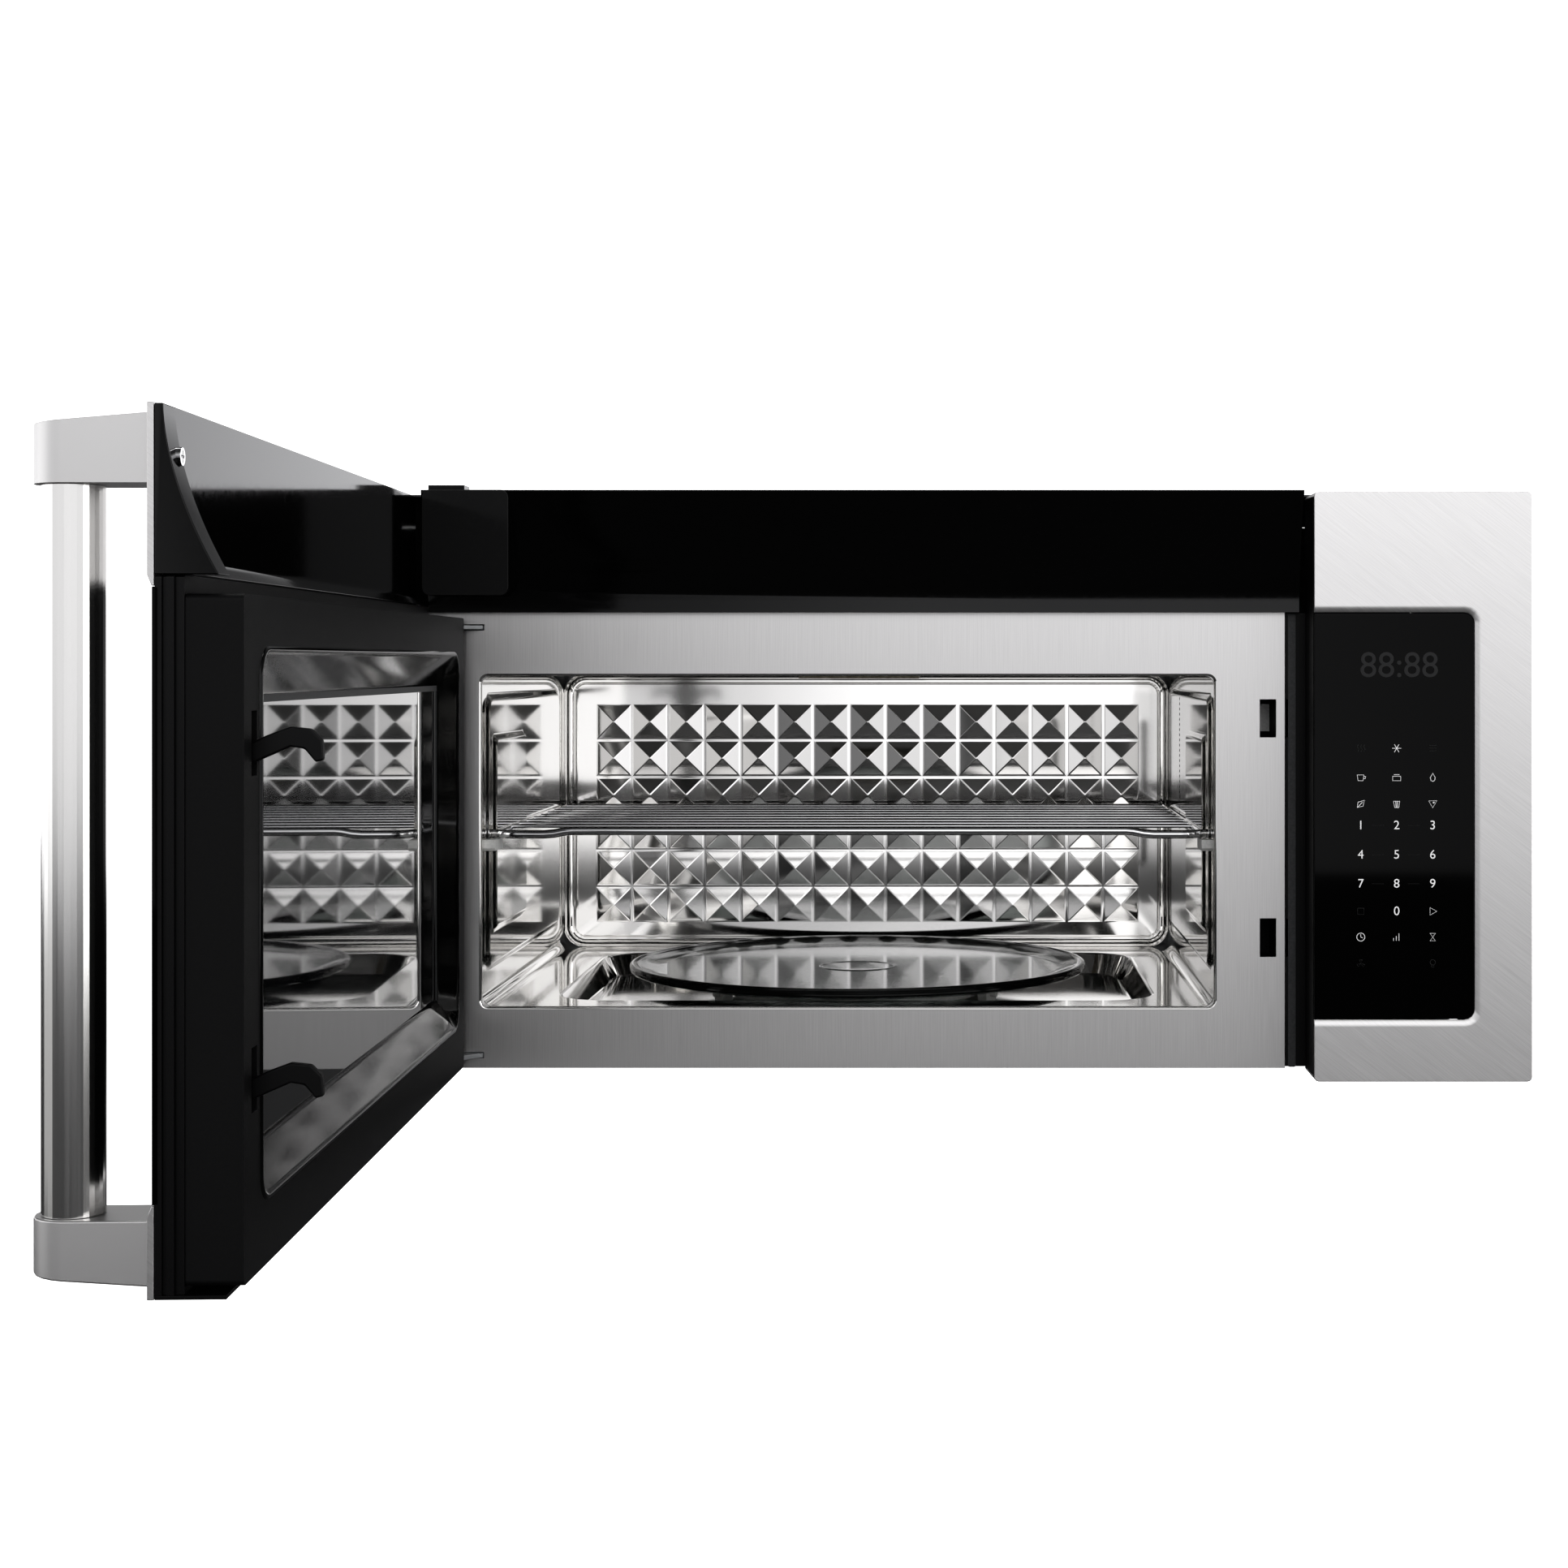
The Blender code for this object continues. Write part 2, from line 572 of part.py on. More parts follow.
def control_side():
    x0, x1 = PANEL_X
    outline = rounded(x0, x1, 0, HEIGHT, 3)
    made = loft("control_fascia", "stainless", "Y", [(FRONT, outline), (PANEL_BACK, outline)])
    low = rounded(600, PANEL_GLASS_RIGHT + BEVEL, GLASS_Z[0] - BEVEL, GLASS_Z[1] + BEVEL, 11, 4)
    high = rounded(600, PANEL_GLASS_RIGHT + GAP, GLASS_Z[0] - GAP, GLASS_Z[1] + GAP, 7, 4)
    bevel = loft("cutter", None, "Y", [(FRONT - 0.8, low), (FRONT, low), (-41, high), (-35, high)])
    cut(made, cut_box((600, x1 - 1.5), (-40, 10), (3, HEIGHT - 3)), bevel)
    pane = right_rounded(x0 + GAP, PANEL_GLASS_RIGHT, *GLASS_Z, 6.7)
    prism("control_glass", "black_glass", "Y", -41, -38, pane)
    outline = [(600.9, 0), (614, 0), (614, -37.5), (615.8, -37.5), (615.8, 1.6), (600.9, 1.6)]
    trim = prism("side_trim", "black_plastic", "Z", 3.4, HEIGHT - 3.4, outline)
    over_flange = cut_box((598, 613.9), (-5, 5), (SHOULDER_Z - 4.3, HEIGHT))
    cut(trim, over_flange, *[cut_box((598, 604), (-5, 5), (low, high)) for low, high in SLOT_Z])


def right_rounded(a0, a1, b0, b1, radius):
    """A rectangle with its two right-hand corners rounded."""
    lower = arc(a1 - radius, b0 + radius, radius, 270, 360, 4)
    upper = arc(a1 - radius, b1 - radius, radius, 0, 90, 4)
    return [(a0, b0)] + lower + upper + [(a0, b1)]


# The door


def door_outline(front, back, reach, right):
    """The door seen from above: its hinge end is round about the pin, so that it clears the flange."""
    x, y = PIVOT
    if front < y:
        start = 180
        points = [(x - reach, front)]
    else:
        start = math.degrees(math.acos(-math.sqrt(max(0, reach**2 - (front - y) ** 2)) / reach))
        points = []
    end = math.degrees(math.asin(min(1, (back - y) / reach)))
    end = 180 - end
    return points + arc(x, y, reach, start, end, 6) + [(right, back), (right, front)]


def hinge_notches():
    """Room for both hinge plates as the door swings round them, and for their pins."""
    x, y = PIVOT
    notches = [cut_box((-5, 63), (-31, 5), (z - 4, z + 4)) for z in PLATE_Z.values()]
    notches += [cut_round("Z", x, y, PIN_RADIUS + 0.2, z - 9, z + 9, 16) for z in PLATE_Z.values()]
    return notches


def door():
    x0, x1 = DOOR_X
    outline = rectangle(x0, x1, 0, HEIGHT)
    skin = loft("door_skin", "stainless", "Y", [(FRONT, outline), (-40, outline)])
    low = rounded(38.5, 640, GLASS_Z[0] - BEVEL, GLASS_Z[1] + BEVEL, 11, 4)
    high = rounded(43.5, 640, GLASS_Z[0] - GAP, GLASS_Z[1] + GAP, 7, 4)
    cut(skin, loft("cutter", None, "Y", [(FRONT - 0.8, low), (FRONT, low), (-41, high), (-35, high)]))
    pane = [(x1 - GAP - (x - 43.8), z) for x, z in right_rounded(43.8, x1 - GAP, *GLASS_Z, 6.7)]
    prism("door_glass", "black_glass", "Y", -41, -38, pane)
    door_frame()
    upper_trim()
    inner_door()
    handle()
    latch()


def door_frame():
    x1 = DOOR_X[1] - GAP
    outline = door_outline(-39.7, FRAME_BACK, HINGE_ROUND - GAP, x1)
    frame = prism("door_frame", "black_plastic", "Z", 1, SHOULDER_Z, outline)
    cutters = [
        cut_box((46, 568), (-60, 5), (26, 300)),
        cut_box((43.5, 640), (-60, -37.7), (GLASS_Z[0] - GAP, GLASS_Z[1] + GAP)),
        cut_box((-5, 62), (-36, 5), (313, 330)),
        cut_box((HOOK_X[0] - 3, HOOK_X[1] + 3), (-33, 5), (66, 282)),
    ]
    cut(frame, *cutters, *hinge_notches())


def trim_depth(z):
    """How far the upper trim's end rib stands behind the sheet at a height."""
    rise = (z - SHOULDER_Z) / (TRIM_TOP - SHOULDER_Z)
    return -36 + (FRAME_BACK + 36) * (1 - rise) ** 1.75


def upper_trim():
    """The glossy plate inside the top of the door, with a hollowed rib at its free end."""
    heights = [SHOULDER_Z + GAP + (TRIM_TOP - SHOULDER_Z - GAP) * i / 8 for i in range(9)]
    outline = [(-39.7, heights[0])] + [(trim_depth(z), z) for z in heights] + [(-39.7, TRIM_TOP)]
    right = DOOR_X[1] - GAP
    made = prism("door_upper_trim", "gloss_black", "X", right - END_RIB, right, outline)
    low, high = SHOULDER_Z + GAP, TRIM_TOP
    join(made, box("cutter", None, (0.8, right - END_RIB + 1), (-39.7, -36.2), (low, high)))
    cut(made, cut_round("Y", 597, 371, 5.5, -33.4, 0, 16), cut_round("Y", 597, 371, 2.4, -60, 0, 12))


def inner_door():
    pan = box("choke_panel", "galvanised", (46.5, 567.5), (-22, FRAME_BACK - 0.1), (26.5, 299.5))
    cut(pan, cut_box((59, 556), (-20.5, 5), (56, 261)))
    outline = door_outline(-11.5, INNER_FACE, HINGE_ROUND - 0.1, 608)
    cover = prism("choke_cover", "black_plastic", "Z", 5, 310, outline)
    wide = rounded(*WINDOW_RECESS, 12, 4)
    narrow = rounded(*WINDOW_GLASS, 10, 4)
    opening = loft("cutter", None, "Y", [(5, wide), (INNER_FACE, wide), (-11.5, narrow), (-15, narrow)])
    slots = [cut_box((HOOK_X[0] - 1, HOOK_X[1] + 1), (-20, 5), (z - 2, z + 22.5)) for z in HOOK_Z]
    cut(cover, opening, *slots, *hinge_notches())
    box("inner_window", "clear_glass", (59.4, 555.6), (-16, -13), (56.4, 260.6))


def handle():
    section = circle(HANDLE_X, HANDLE_Y, HANDLE_RADIUS, 32)
    prism("handle_bar", "polished_steel", "Z", HANDLE_Z[0] + GAP, HANDLE_Z[1] - GAP, section)
    tip = arc(HANDLE_X, HANDLE_Y, 17, 180, 360, 10)
    outer = HANDLE_Y - 18.5
    plan = tip + [(HANDLE_X + 17, FRONT - GAP), (HANDLE_X - 17, FRONT - GAP)]
    for which, low, high in (("upper", HANDLE_Z[1], 390.5), ("lower", 3.5, HANDLE_Z[0])):
        bracket = prism("handle_bracket_" + which, "stainless", "Z", low, high, plan)
        if which == "upper":
            wedge = [(FRONT + 5, high + 0.1), (FRONT - GAP, high), (outer, high - 5)]
            wedge += [(outer, high + 5), (FRONT + 5, high + 5)]
            screw_hole = cut_round("Y", 597, 371, 2.4, -60, 0, 12)
            cut(bracket, prism("cutter", None, "X", 560, 610, wedge), screw_hole)
        else:
            wedge = [(FRONT + 5, low - 0.1), (FRONT - GAP, low), (outer, low + 4)]
            wedge += [(outer, low - 5), (FRONT + 5, low - 5)]
            cut(bracket, prism("cutter", None, "X", 560, 610, wedge))
    skin = bpy.data.objects["door_skin"]
    cut(skin, cut_round("Y", 597, 371, 2.4, -60, 0, 12))
    screw = prism("handle_screw", "polished_steel", "Y", -33.1, -30.6, circle(597, 371, 4.4, 16))
    join(screw, cut_round("Y", 597, 371, 2, -55, -32, 12))


def latch():
    """Both hooks on one bar that slides up inside the door, against a small spring."""
    low, high = HOOK_X
    bar = box("latch_bar", "black_plastic", HOOK_X, (-30, -20), (HOOK_Z[1] - 6, HOOK_Z[0] + 28))
    hooks = []
    for z in HOOK_Z:
        under = [(-22, z), (-8, z), (6, z + 6), (15, z + 10), (21, z + 9), (26, z + 3), (29.5, z + 4)]
        over = [(29, z + 13), (24, z + 18), (15, z + 19), (4, z + 15), (-8, z + 9), (-22, z + 9)]
        hooks.append(prism("cutter", None, "X", low, high, under + over))
    join(bar, *hooks)
    x = (low + high) / 2
    turns = 5
    bottom = HOOK_Z[0] + 28 + 1.1
    top = 280.5
    coil = []
    for k in range(turns * 10 + 1):
        t = 2 * math.pi * k / 10
        height = bottom + (top - bottom) * k / (turns * 10)
        coil.append((x + 2.6 * math.cos(t), -25 + 2.6 * math.sin(t), height))
    wire("latch_spring", "chrome_wire", coil, 0.5, False, 0)


def swing_door_open():
    """Hangs the door's pieces on their pins and turns them to the open stop."""
    pins = bpy.data.objects.new("door_pins", None)
    bpy.context.scene.collection.objects.link(pins)
    pins.location = at(*PIVOT, 0)
    pieces = ["door_skin", "door_glass", "door_frame", "door_upper_trim", "choke_panel", "choke_cover"]
    pieces += ["inner_window", "handle_bar", "handle_bracket_upper", "handle_bracket_lower", "handle_screw"]
    for name in pieces + ["latch_bar", "latch_spring"]:
        piece = bpy.data.objects[name]
        piece.parent = pins
        piece.matrix_parent_inverse = Matrix.Translation(-pins.location)
    pins.rotation_euler.z = -math.radians(OPEN_ANGLE)


def hang(name, centre):
    """Gives a piece that turns or slides on its own an empty on its axis."""
    axis = bpy.data.objects.new(name + "_axis", None)
    bpy.context.scene.collection.objects.link(axis)
    axis.location = at(*centre)
    piece = bpy.data.objects[name]
    piece.parent = axis
    piece.matrix_parent_inverse = Matrix.Translation(-axis.location)


def build():
    clear_scene()
    cabinet_shell()
    front_frame()
    vent_fascia()
    for which in PLATE_Z:
        hinge_bracket(which)
    cavity()
    rack_rails()
    turntable()
    wire_rack()
    works()
    control_side()
    door()
    swing_door_open()
    hang("glass_tray", (*TRAY_CENTRE, TRAY_Z))
    hang("drive_coupler", (*TRAY_CENTRE, TRAY_Z))
    hang("roller_ring", (*TRAY_CENTRE, WHEEL_Z))
    for k in range(3):
        t = math.radians(90 + 120 * k)
        hub = spoke(Vector((math.cos(t), math.sin(t), 0)), WHEEL_TRACK)
        hang(f"roller_wheel_{k + 1}", hub)
    hang("blower_wheel", (300, 312, 333))
    hang("convection_fan", (568, 190, 160))
    hang("damper_flap", (312, 346, 401.3))
    hang("wire_rack", (300.75, RACK_Y[0], RACK_Z))
    hang("interlock_plunger", (588.5, 33, 241.5))


build()
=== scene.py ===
# %% [markdown]
# # An over-the-range microwave oven with its door open
# This lesson dresses a finished engineering model. The solids, their sizes and their joints come
# from the frame; here each visible piece gets rounded edges, pressed detail and a real finish.

# %% Load the frame
import json
import math

import bpy
from mathutils import Matrix, Vector


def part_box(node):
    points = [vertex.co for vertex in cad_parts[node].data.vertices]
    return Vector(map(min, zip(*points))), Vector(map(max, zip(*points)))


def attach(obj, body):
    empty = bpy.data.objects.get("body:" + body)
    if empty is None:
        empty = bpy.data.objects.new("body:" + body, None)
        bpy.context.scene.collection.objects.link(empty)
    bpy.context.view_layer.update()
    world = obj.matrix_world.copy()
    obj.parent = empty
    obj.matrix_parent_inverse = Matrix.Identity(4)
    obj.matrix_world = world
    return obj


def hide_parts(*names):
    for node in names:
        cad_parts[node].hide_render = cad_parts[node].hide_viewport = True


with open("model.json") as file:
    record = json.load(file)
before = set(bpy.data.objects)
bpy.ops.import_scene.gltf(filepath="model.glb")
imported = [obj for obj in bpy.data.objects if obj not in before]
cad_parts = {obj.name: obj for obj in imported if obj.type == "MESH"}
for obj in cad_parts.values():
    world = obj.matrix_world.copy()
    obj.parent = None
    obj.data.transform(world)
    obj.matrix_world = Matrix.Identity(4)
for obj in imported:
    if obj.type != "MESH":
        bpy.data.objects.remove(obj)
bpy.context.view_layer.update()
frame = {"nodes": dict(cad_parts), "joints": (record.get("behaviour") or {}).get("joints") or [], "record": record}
MM = 0.001

# %% [markdown]
# ## A home corner and the shut door
# Sizes on an appliance drawing start at one corner, so a helper turns millimetres from the
# cabinet's lower left front into the frame's metres. The door is drawn shut, as it would be on
# paper, and then turned to where it stands. The hinge joint says how far that is, so the drawing
# and the joint can never disagree.

# %% Measure from the cabinet's corner and from the shut door
SIDE_MARGIN = 1.5
flange_low = Vector(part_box("front_frame")[0])
HOME = Vector((flange_low.x - SIDE_MARGIN * MM, flange_low.y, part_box("control_fascia")[0][2]))


def place(x, y, z):
    """A point in millimetres from the home corner, as metres in the frame."""
    return HOME + Vector((x, y, z)) * MM


hinge = next(joint for joint in frame["joints"] if joint["name"] == "door_hinge")
pin = Vector(hinge["pos_m"])
swing = Matrix.Rotation(-math.radians(hinge["range_deg"][0]), 4, Vector(hinge["axis"]))
SHUT_TO_OPEN = Matrix.Translation(pin) @ swing @ Matrix.Translation(-pin)
print("door stands open by", -hinge["range_deg"][0], "degrees")

# %% [markdown]
# ## Camera
# The oven is seen straight on with a longish lens, from a little left of its middle and about the
# height of the oven's ceiling. The lens is shifted instead of turned, so uprights stay upright.

# %% Camera
CAMERA_PLACE = place(373, -1699, 279)
bpy.ops.object.camera_add(location=CAMERA_PLACE, rotation=(math.pi / 2, 0, 0))
camera = bpy.context.object
camera.name = "camera"
camera.data.sensor_width = 36
camera.data.lens = 56.95
camera.data.shift_x = -0.108
camera.data.shift_y = -0.0766
bpy.context.scene.camera = camera
view = bpy.context.scene.view_settings
view.view_transform = "Standard"
view.look = "Medium High Contrast"
print("camera at", [round(value, 3) for value in camera.location])

# %% [markdown]
# ## Studio
# Polished steel shows only what stands around it. A white room alone makes it flat, so the room is
# brightest straight ahead of the oven, greyer to each side and dark overhead, as white screens and
# black cloth would leave it. Every colour and node goes through the small helpers made here.

# %% Colours, node helper and materials
def colour(code):
    """An sRGB hex colour as linear red, green, blue and alpha."""
    parts = [int(code[i : i + 2], 16) / 255 for i in (1, 3, 5)]
    linear = [c / 12.92 if c <= 0.04045 else ((c + 0.055) / 1.055) ** 2.4 for c in parts]
    return (*linear, 1.0)


def add(tree, kind, settings=None, links=None):
    """Adds one node, with its settings and the sockets that feed it."""
    node = tree.nodes.new("ShaderNode" + kind)
    for key, value in (settings or {}).items():
        if isinstance(key, str) and hasattr(node, key):
            setattr(node, key, value)
        else:
            node.inputs[key].default_value = value
    for key, socket in (links or {}).items():
        tree.links.new(socket, node.inputs[key])
    return node


def material(name, settings):
    """A material with one Principled shader; returns it with its node tree and shader."""
    made = bpy.data.materials.new(name)
    made.use_nodes = True
    shader = made.node_tree.nodes["Principled BSDF"]
    for key, value in settings.items():
        shader.inputs[key].default_value = value
    return made, made.node_tree, shader


def grain(tree, turn, scale, detail=3.0):
    """A noise on the piece's own metres, turned and stretched; scale is repeats per metre."""
    where = add(tree, "TexCoord")
    spacing = [1 / repeats for repeats in scale]
    settings = {"vector_type": "TEXTURE", "Rotation": turn, "Scale": spacing}
    stretched = add(tree, "Mapping", settings, {"Vector": where.outputs["Object"]})
    settings = {"Scale": 1.0, "Detail": detail}
    return add(tree, "TexNoise", settings, {"Vector": stretched.outputs["Vector"]})


def ramp(tree, factor, stops):
    """A colour ramp through (position, hex colour) stops."""
    node = add(tree, "ValToRGB", links={"Fac": factor})
    elements = node.color_ramp.elements
    for element, (position, code) in zip((elements[0], elements[1]), (stops[0], stops[-1])):
        element.position = position
        element.color = colour(code)
    for position, code in stops[1:-1]:
        elements.new(position).color = colour(code)
    return node


def spread(tree, factor, low, high):
    """Maps a 0 to 1 value on to low to high."""
    return add(tree, "MapRange", {"To Min": low, "To Max": high}, {"Value": factor}).outputs["Result"]


def bump(tree, shader, height, strength, depth):
    """Feeds a height in millimetres into the shader's normal."""
    node = add(tree, "Bump", {"Strength": strength, "Distance": depth * MM}, {"Height": height})
    tree.links.new(node.outputs["Normal"], shader.inputs["Normal"])


# %% [markdown]
# ## Steels
# Stainless steel is dull or bright by how it was finished, not by its colour. The door and panel
# are brushed on a slant, the flange is rolled to a satin, and the cooking space is polished.

# %% Steels
BRUSH_TURN = (0, math.radians(38), 0)


def brushed_stainless(name, turn, pale, dark):
    """Abrasive-brushed AISI 430 sheet: fine scratches all one way make it soft and bright."""
    made, tree, shader = material(name, {"Metallic": 1.0, "Roughness": 0.34})
    scratches = grain(tree, turn, (26, 400, 1500), 5.0)
    tint = ramp(tree, scratches.outputs["Fac"], [(0.3, dark), (0.7, pale)])
    tree.links.new(tint.outputs["Color"], shader.inputs["Base Color"])
    tree.links.new(spread(tree, scratches.outputs["Fac"], 0.3, 0.4), shader.inputs["Roughness"])
    bump(tree, shader, scratches.outputs["Fac"], 0.1, 0.03)
    return made


brushed_panel = brushed_stainless("brushed_stainless", BRUSH_TURN, "#E9E8E7", "#DDDCDB")
rolled_flange = brushed_stainless("rolled_stainless", (0, math.pi / 2, 0), "#E2E1E0", "#D8D7D6")

satin_cast, tree, shader = material(
    "bead_blasted_aluminium", {"Metallic": 1.0, "Roughness": 0.42, "Base Color": colour("#E6E5E4")}
)
blast = grain(tree, (0, 0, 0), (1600, 1600, 1600), 2.0)
tree.links.new(spread(tree, blast.outputs["Fac"], 0.38, 0.48), shader.inputs["Roughness"])
bump(tree, shader, blast.outputs["Fac"], 0.15, 0.03)

polished_steel, tree, shader = material(
    "polished_stainless", {"Metallic": 1.0, "Roughness": 0.07, "Base Color": colour("#E2E1DF")}
)
ripple = grain(tree, (0, 0, 0), (9, 9, 9), 2.0)
tree.links.new(spread(tree, ripple.outputs["Fac"], 0.04, 0.10), shader.inputs["Roughness"])
bump(tree, shader, ripple.outputs["Fac"], 0.12, 1.0)

bright_tube, tree, shader = material(
    "bright_drawn_tube", {"Metallic": 1.0, "Roughness": 0.16, "Base Color": colour("#E6E5E3")}
)
drawn = grain(tree, (0, 0, 0), (700, 700, 5), 3.0)
tree.links.new(spread(tree, drawn.outputs["Fac"], 0.12, 0.22), shader.inputs["Roughness"])

chrome_wire, tree, shader = material(
    "chrome_plated_wire", {"Metallic": 1.0, "Roughness": 0.1, "Base Color": colour("#DCDCDD")}
)
plating = grain(tree, (0, 0, 0), (120, 120, 120))
tree.links.new(spread(tree, plating.outputs["Fac"], 0.06, 0.16), shader.inputs["Roughness"])

zinc_steel, tree, shader = material("galvanised_steel", {"Metallic": 1.0, "Roughness": 0.45})
spangle_place = add(tree, "TexCoord")
spangle = add(tree, "TexVoronoi", {"Scale": 90.0}, {"Vector": spangle_place.outputs["Object"]})
zinc_tint = ramp(tree, spangle.outputs["Color"], [(0.0, "#8F9294"), (1.0, "#B4B6B7")])
tree.links.new(zinc_tint.outputs["Color"], shader.inputs["Base Color"])
tree.links.new(spread(tree, spangle.outputs["Distance"], 0.35, 0.55), shader.inputs["Roughness"])

coated = {"Metallic": 0.0, "Roughness": 0.5, "IOR": 1.5}
painted_case, tree, shader = material("powder_coated_steel", coated)
orange_peel = grain(tree, (0, 0, 0), (900, 900, 900), 2.0)
case_tint = ramp(tree, orange_peel.outputs["Fac"], [(0.3, "#3A3B3C"), (0.7, "#454647")])
tree.links.new(case_tint.outputs["Color"], shader.inputs["Base Color"])
bump(tree, shader, orange_peel.outputs["Fac"], 0.3, 0.08)
print("steels made")

# %% [markdown]
# ## Plastics and glass
# Moulded black plastic is told apart by its surface: spark-eroded tools leave a fine satin grain,
# polished tools leave a gloss. Neither is ever quite black, so both keep a little grey. The tray's
# glass is painted darker towards its thick rim, as painted shade for the light that the thick glass
# loses, and the window shows the screen of fine holes behind it.

# %% Plastics and glass
def moulded(name, pale, dark, rough, coarse, depth, sheen=0.5):
    """Injection-moulded plastic with a spark-eroded grain of coarse repeats per metre."""
    settings = {"Roughness": rough, "IOR": 1.53, "Specular IOR Level": sheen}
    made, tree, shader = material(name, settings)
    texture = grain(tree, (0, 0, 0), (coarse, coarse, coarse), 4.0)
    tint = ramp(tree, texture.outputs["Fac"], [(0.35, dark), (0.65, pale)])
    tree.links.new(tint.outputs["Color"], shader.inputs["Base Color"])
    roughness = spread(tree, texture.outputs["Fac"], rough - 0.04, rough + 0.06)
    tree.links.new(roughness, shader.inputs["Roughness"])
    if depth:
        bump(tree, shader, texture.outputs["Fac"], 0.35, depth)
    return made


satin_black = moulded("textured_black_abs", "#0E0E0F", "#09090A", 0.56, 1400, 0.1, 0.25)
frame_black = moulded("satin_black_abs", "#070708", "#050506", 0.4, 1400, 0.04, 0.25)
gloss_black = moulded("polished_black_abs", "#060606", "#040404", 0.07, 300, 0.0, 0.3)
white_nylon = moulded("white_nylon", "#EDEDEA", "#DEDEDB", 0.38, 500, 0.05)
grey_seal = moulded("grey_pvc_seal", "#4A4B4C", "#3E3F40", 0.5, 600, 0.06)

black_glass, tree, shader = material(
    "back_painted_glass", {"Base Color": colour("#050505"), "IOR": 1.52, "Specular IOR Level": 0.1}
)
float_wave = grain(tree, (0, 0, 0), (6, 6, 6), 1.0)
tree.links.new(spread(tree, float_wave.outputs["Fac"], 0.02, 0.05), shader.inputs["Roughness"])

tray_glass, tree, shader = material(
    "pressed_soda_glass",
    {"Roughness": 0.06, "IOR": 1.52, "Transmission Weight": 0.8},
)
TRAY_CENTRE = (300.8, 183)
TRAY_Z = 44.8
tray_place = add(tree, "TexCoord")
radius_of = {"operation": "DISTANCE", 1: place(*TRAY_CENTRE, TRAY_Z)}
reach = add(tree, "VectorMath", radius_of, {0: tray_place.outputs["Object"]})
# Painted shade: the base colour is painted dark near the rim, for the light lost in the thick glass.
rim_shade_stops = [(0.1, "#9AA09E"), (0.156, "#8A908E"), (0.165, "#1B1D1C"), (0.18, "#1B1D1C")]
thickness = ramp(tree, reach.outputs["Value"], rim_shade_stops)
tree.links.new(thickness.outputs["Color"], shader.inputs["Base Color"])
pressed = grain(tree, (0, 0, 0), (160, 160, 160), 3.0)
tree.links.new(spread(tree, pressed.outputs["Fac"], 0.03, 0.16), shader.inputs["Roughness"])
bump(tree, shader, pressed.outputs["Fac"], 0.2, 0.12)

window_glass, tree, shader = material(
    "tinted_window_glass", {"Roughness": 0.03, "IOR": 1.6, "Coat Weight": 1.0}
)
SCREEN_PITCH = 2.4
screen_place = add(tree, "TexCoord")
screen_grid = {"Scale": 1000 / SCREEN_PITCH, "Randomness": 0.0}
screen = add(tree, "TexVoronoi", screen_grid, {"Vector": screen_place.outputs["Object"]})
screen_tint = ramp(tree, screen.outputs["Distance"], [(0.3, "#060606"), (0.36, "#1B1C1D")])
tree.links.new(screen_tint.outputs["Color"], shader.inputs["Base Color"])

lamp_glass, tree, shader = material(
    "frosted_lamp_glass",
    {"Base Color": colour("#E9ECEA"), "Roughness": 0.35, "IOR": 1.5, "Transmission Weight": 0.7},
)
frost = grain(tree, (0, 0, 0), (700, 700, 700), 2.0)
bump(tree, shader, frost.outputs["Fac"], 0.4, 0.2)

board_resist, tree, shader = material("green_solder_resist", {"Roughness": 0.35, "IOR": 1.5})
tracks = grain(tree, (0, 0, 0), (300, 300, 300), 5.0)
board_tint = ramp(tree, tracks.outputs["Fac"], [(0.45, "#0E3B22"), (0.55, "#1A5A33")])
tree.links.new(board_tint.outputs["Color"], shader.inputs["Base Color"])

varnished = {"Metallic": 0.6, "Roughness": 0.5}
varnished_core, tree, shader = material("varnished_transformer_iron", varnished)
laminations = grain(tree, (0, 0, 0), (2000, 4, 4), 1.0)
core_tint = ramp(tree, laminations.outputs["Fac"], [(0.4, "#4A3020"), (0.6, "#7A5534")])
tree.links.new(core_tint.outputs["Color"], shader.inputs["Base Color"])

mica_sheet, tree, shader = material("pressed_mica", {"Roughness": 0.5, "IOR": 1.56})
flakes = grain(tree, (0, 0, 0), (260, 260, 260), 4.0)
mica_tint = ramp(tree, flakes.outputs["Fac"], [(0.35, "#8C8471"), (0.65, "#B3AB96")])
tree.links.new(mica_tint.outputs["Color"], shader.inputs["Base Color"])
print("materials:", len(bpy.data.materials))

# %% [markdown]
# ## Room and lights
# A grey floor lies well below the oven, as a hob's worktop would, and only the steel sees it. Large
# area lights stand for soft boxes: one over the camera, one each side and one above. The walls are
# a ramp of greys from left to right, and the camera itself sees plain white.

# %% Room and lights
def area_light(name, where, target, size, power):
    """A rectangular soft box at where, facing target; size in metres, power in watts."""
    bpy.ops.object.light_add(type="AREA", location=where)
    lamp = bpy.context.object
    lamp.name = name
    lamp.data.shape = "RECTANGLE"
    lamp.data.size, lamp.data.size_y = size
    lamp.data.energy = power
    lamp.rotation_mode = "QUATERNION"
    lamp.rotation_quaternion = (Vector(target) - Vector(where)).to_track_quat("-Z", "Y")


middle = place(380, 100, 200)
area_light("key_over_camera", place(700, -2500, 1500), middle, (3.4, 1.6), 5)
area_light("fill_left", place(-1900, -700, 500), middle, (1.4, 1.8), 3)
area_light("fill_right", place(2500, -1500, 700), middle, (1.2, 1.8), 14)
area_light("strip_top", place(380, 0, 1500), middle, (1.8, 0.5), 8)

bpy.ops.mesh.primitive_plane_add(size=14, location=place(380, 0, -450))
floor = bpy.context.object
floor.name = "studio_floor"
floor.visible_camera = False
paper, tree, shader = material("grey_paper_sweep", {"Base Color": colour("#5A5A5A"), "Roughness": 0.8})
floor.data.materials.append(paper)

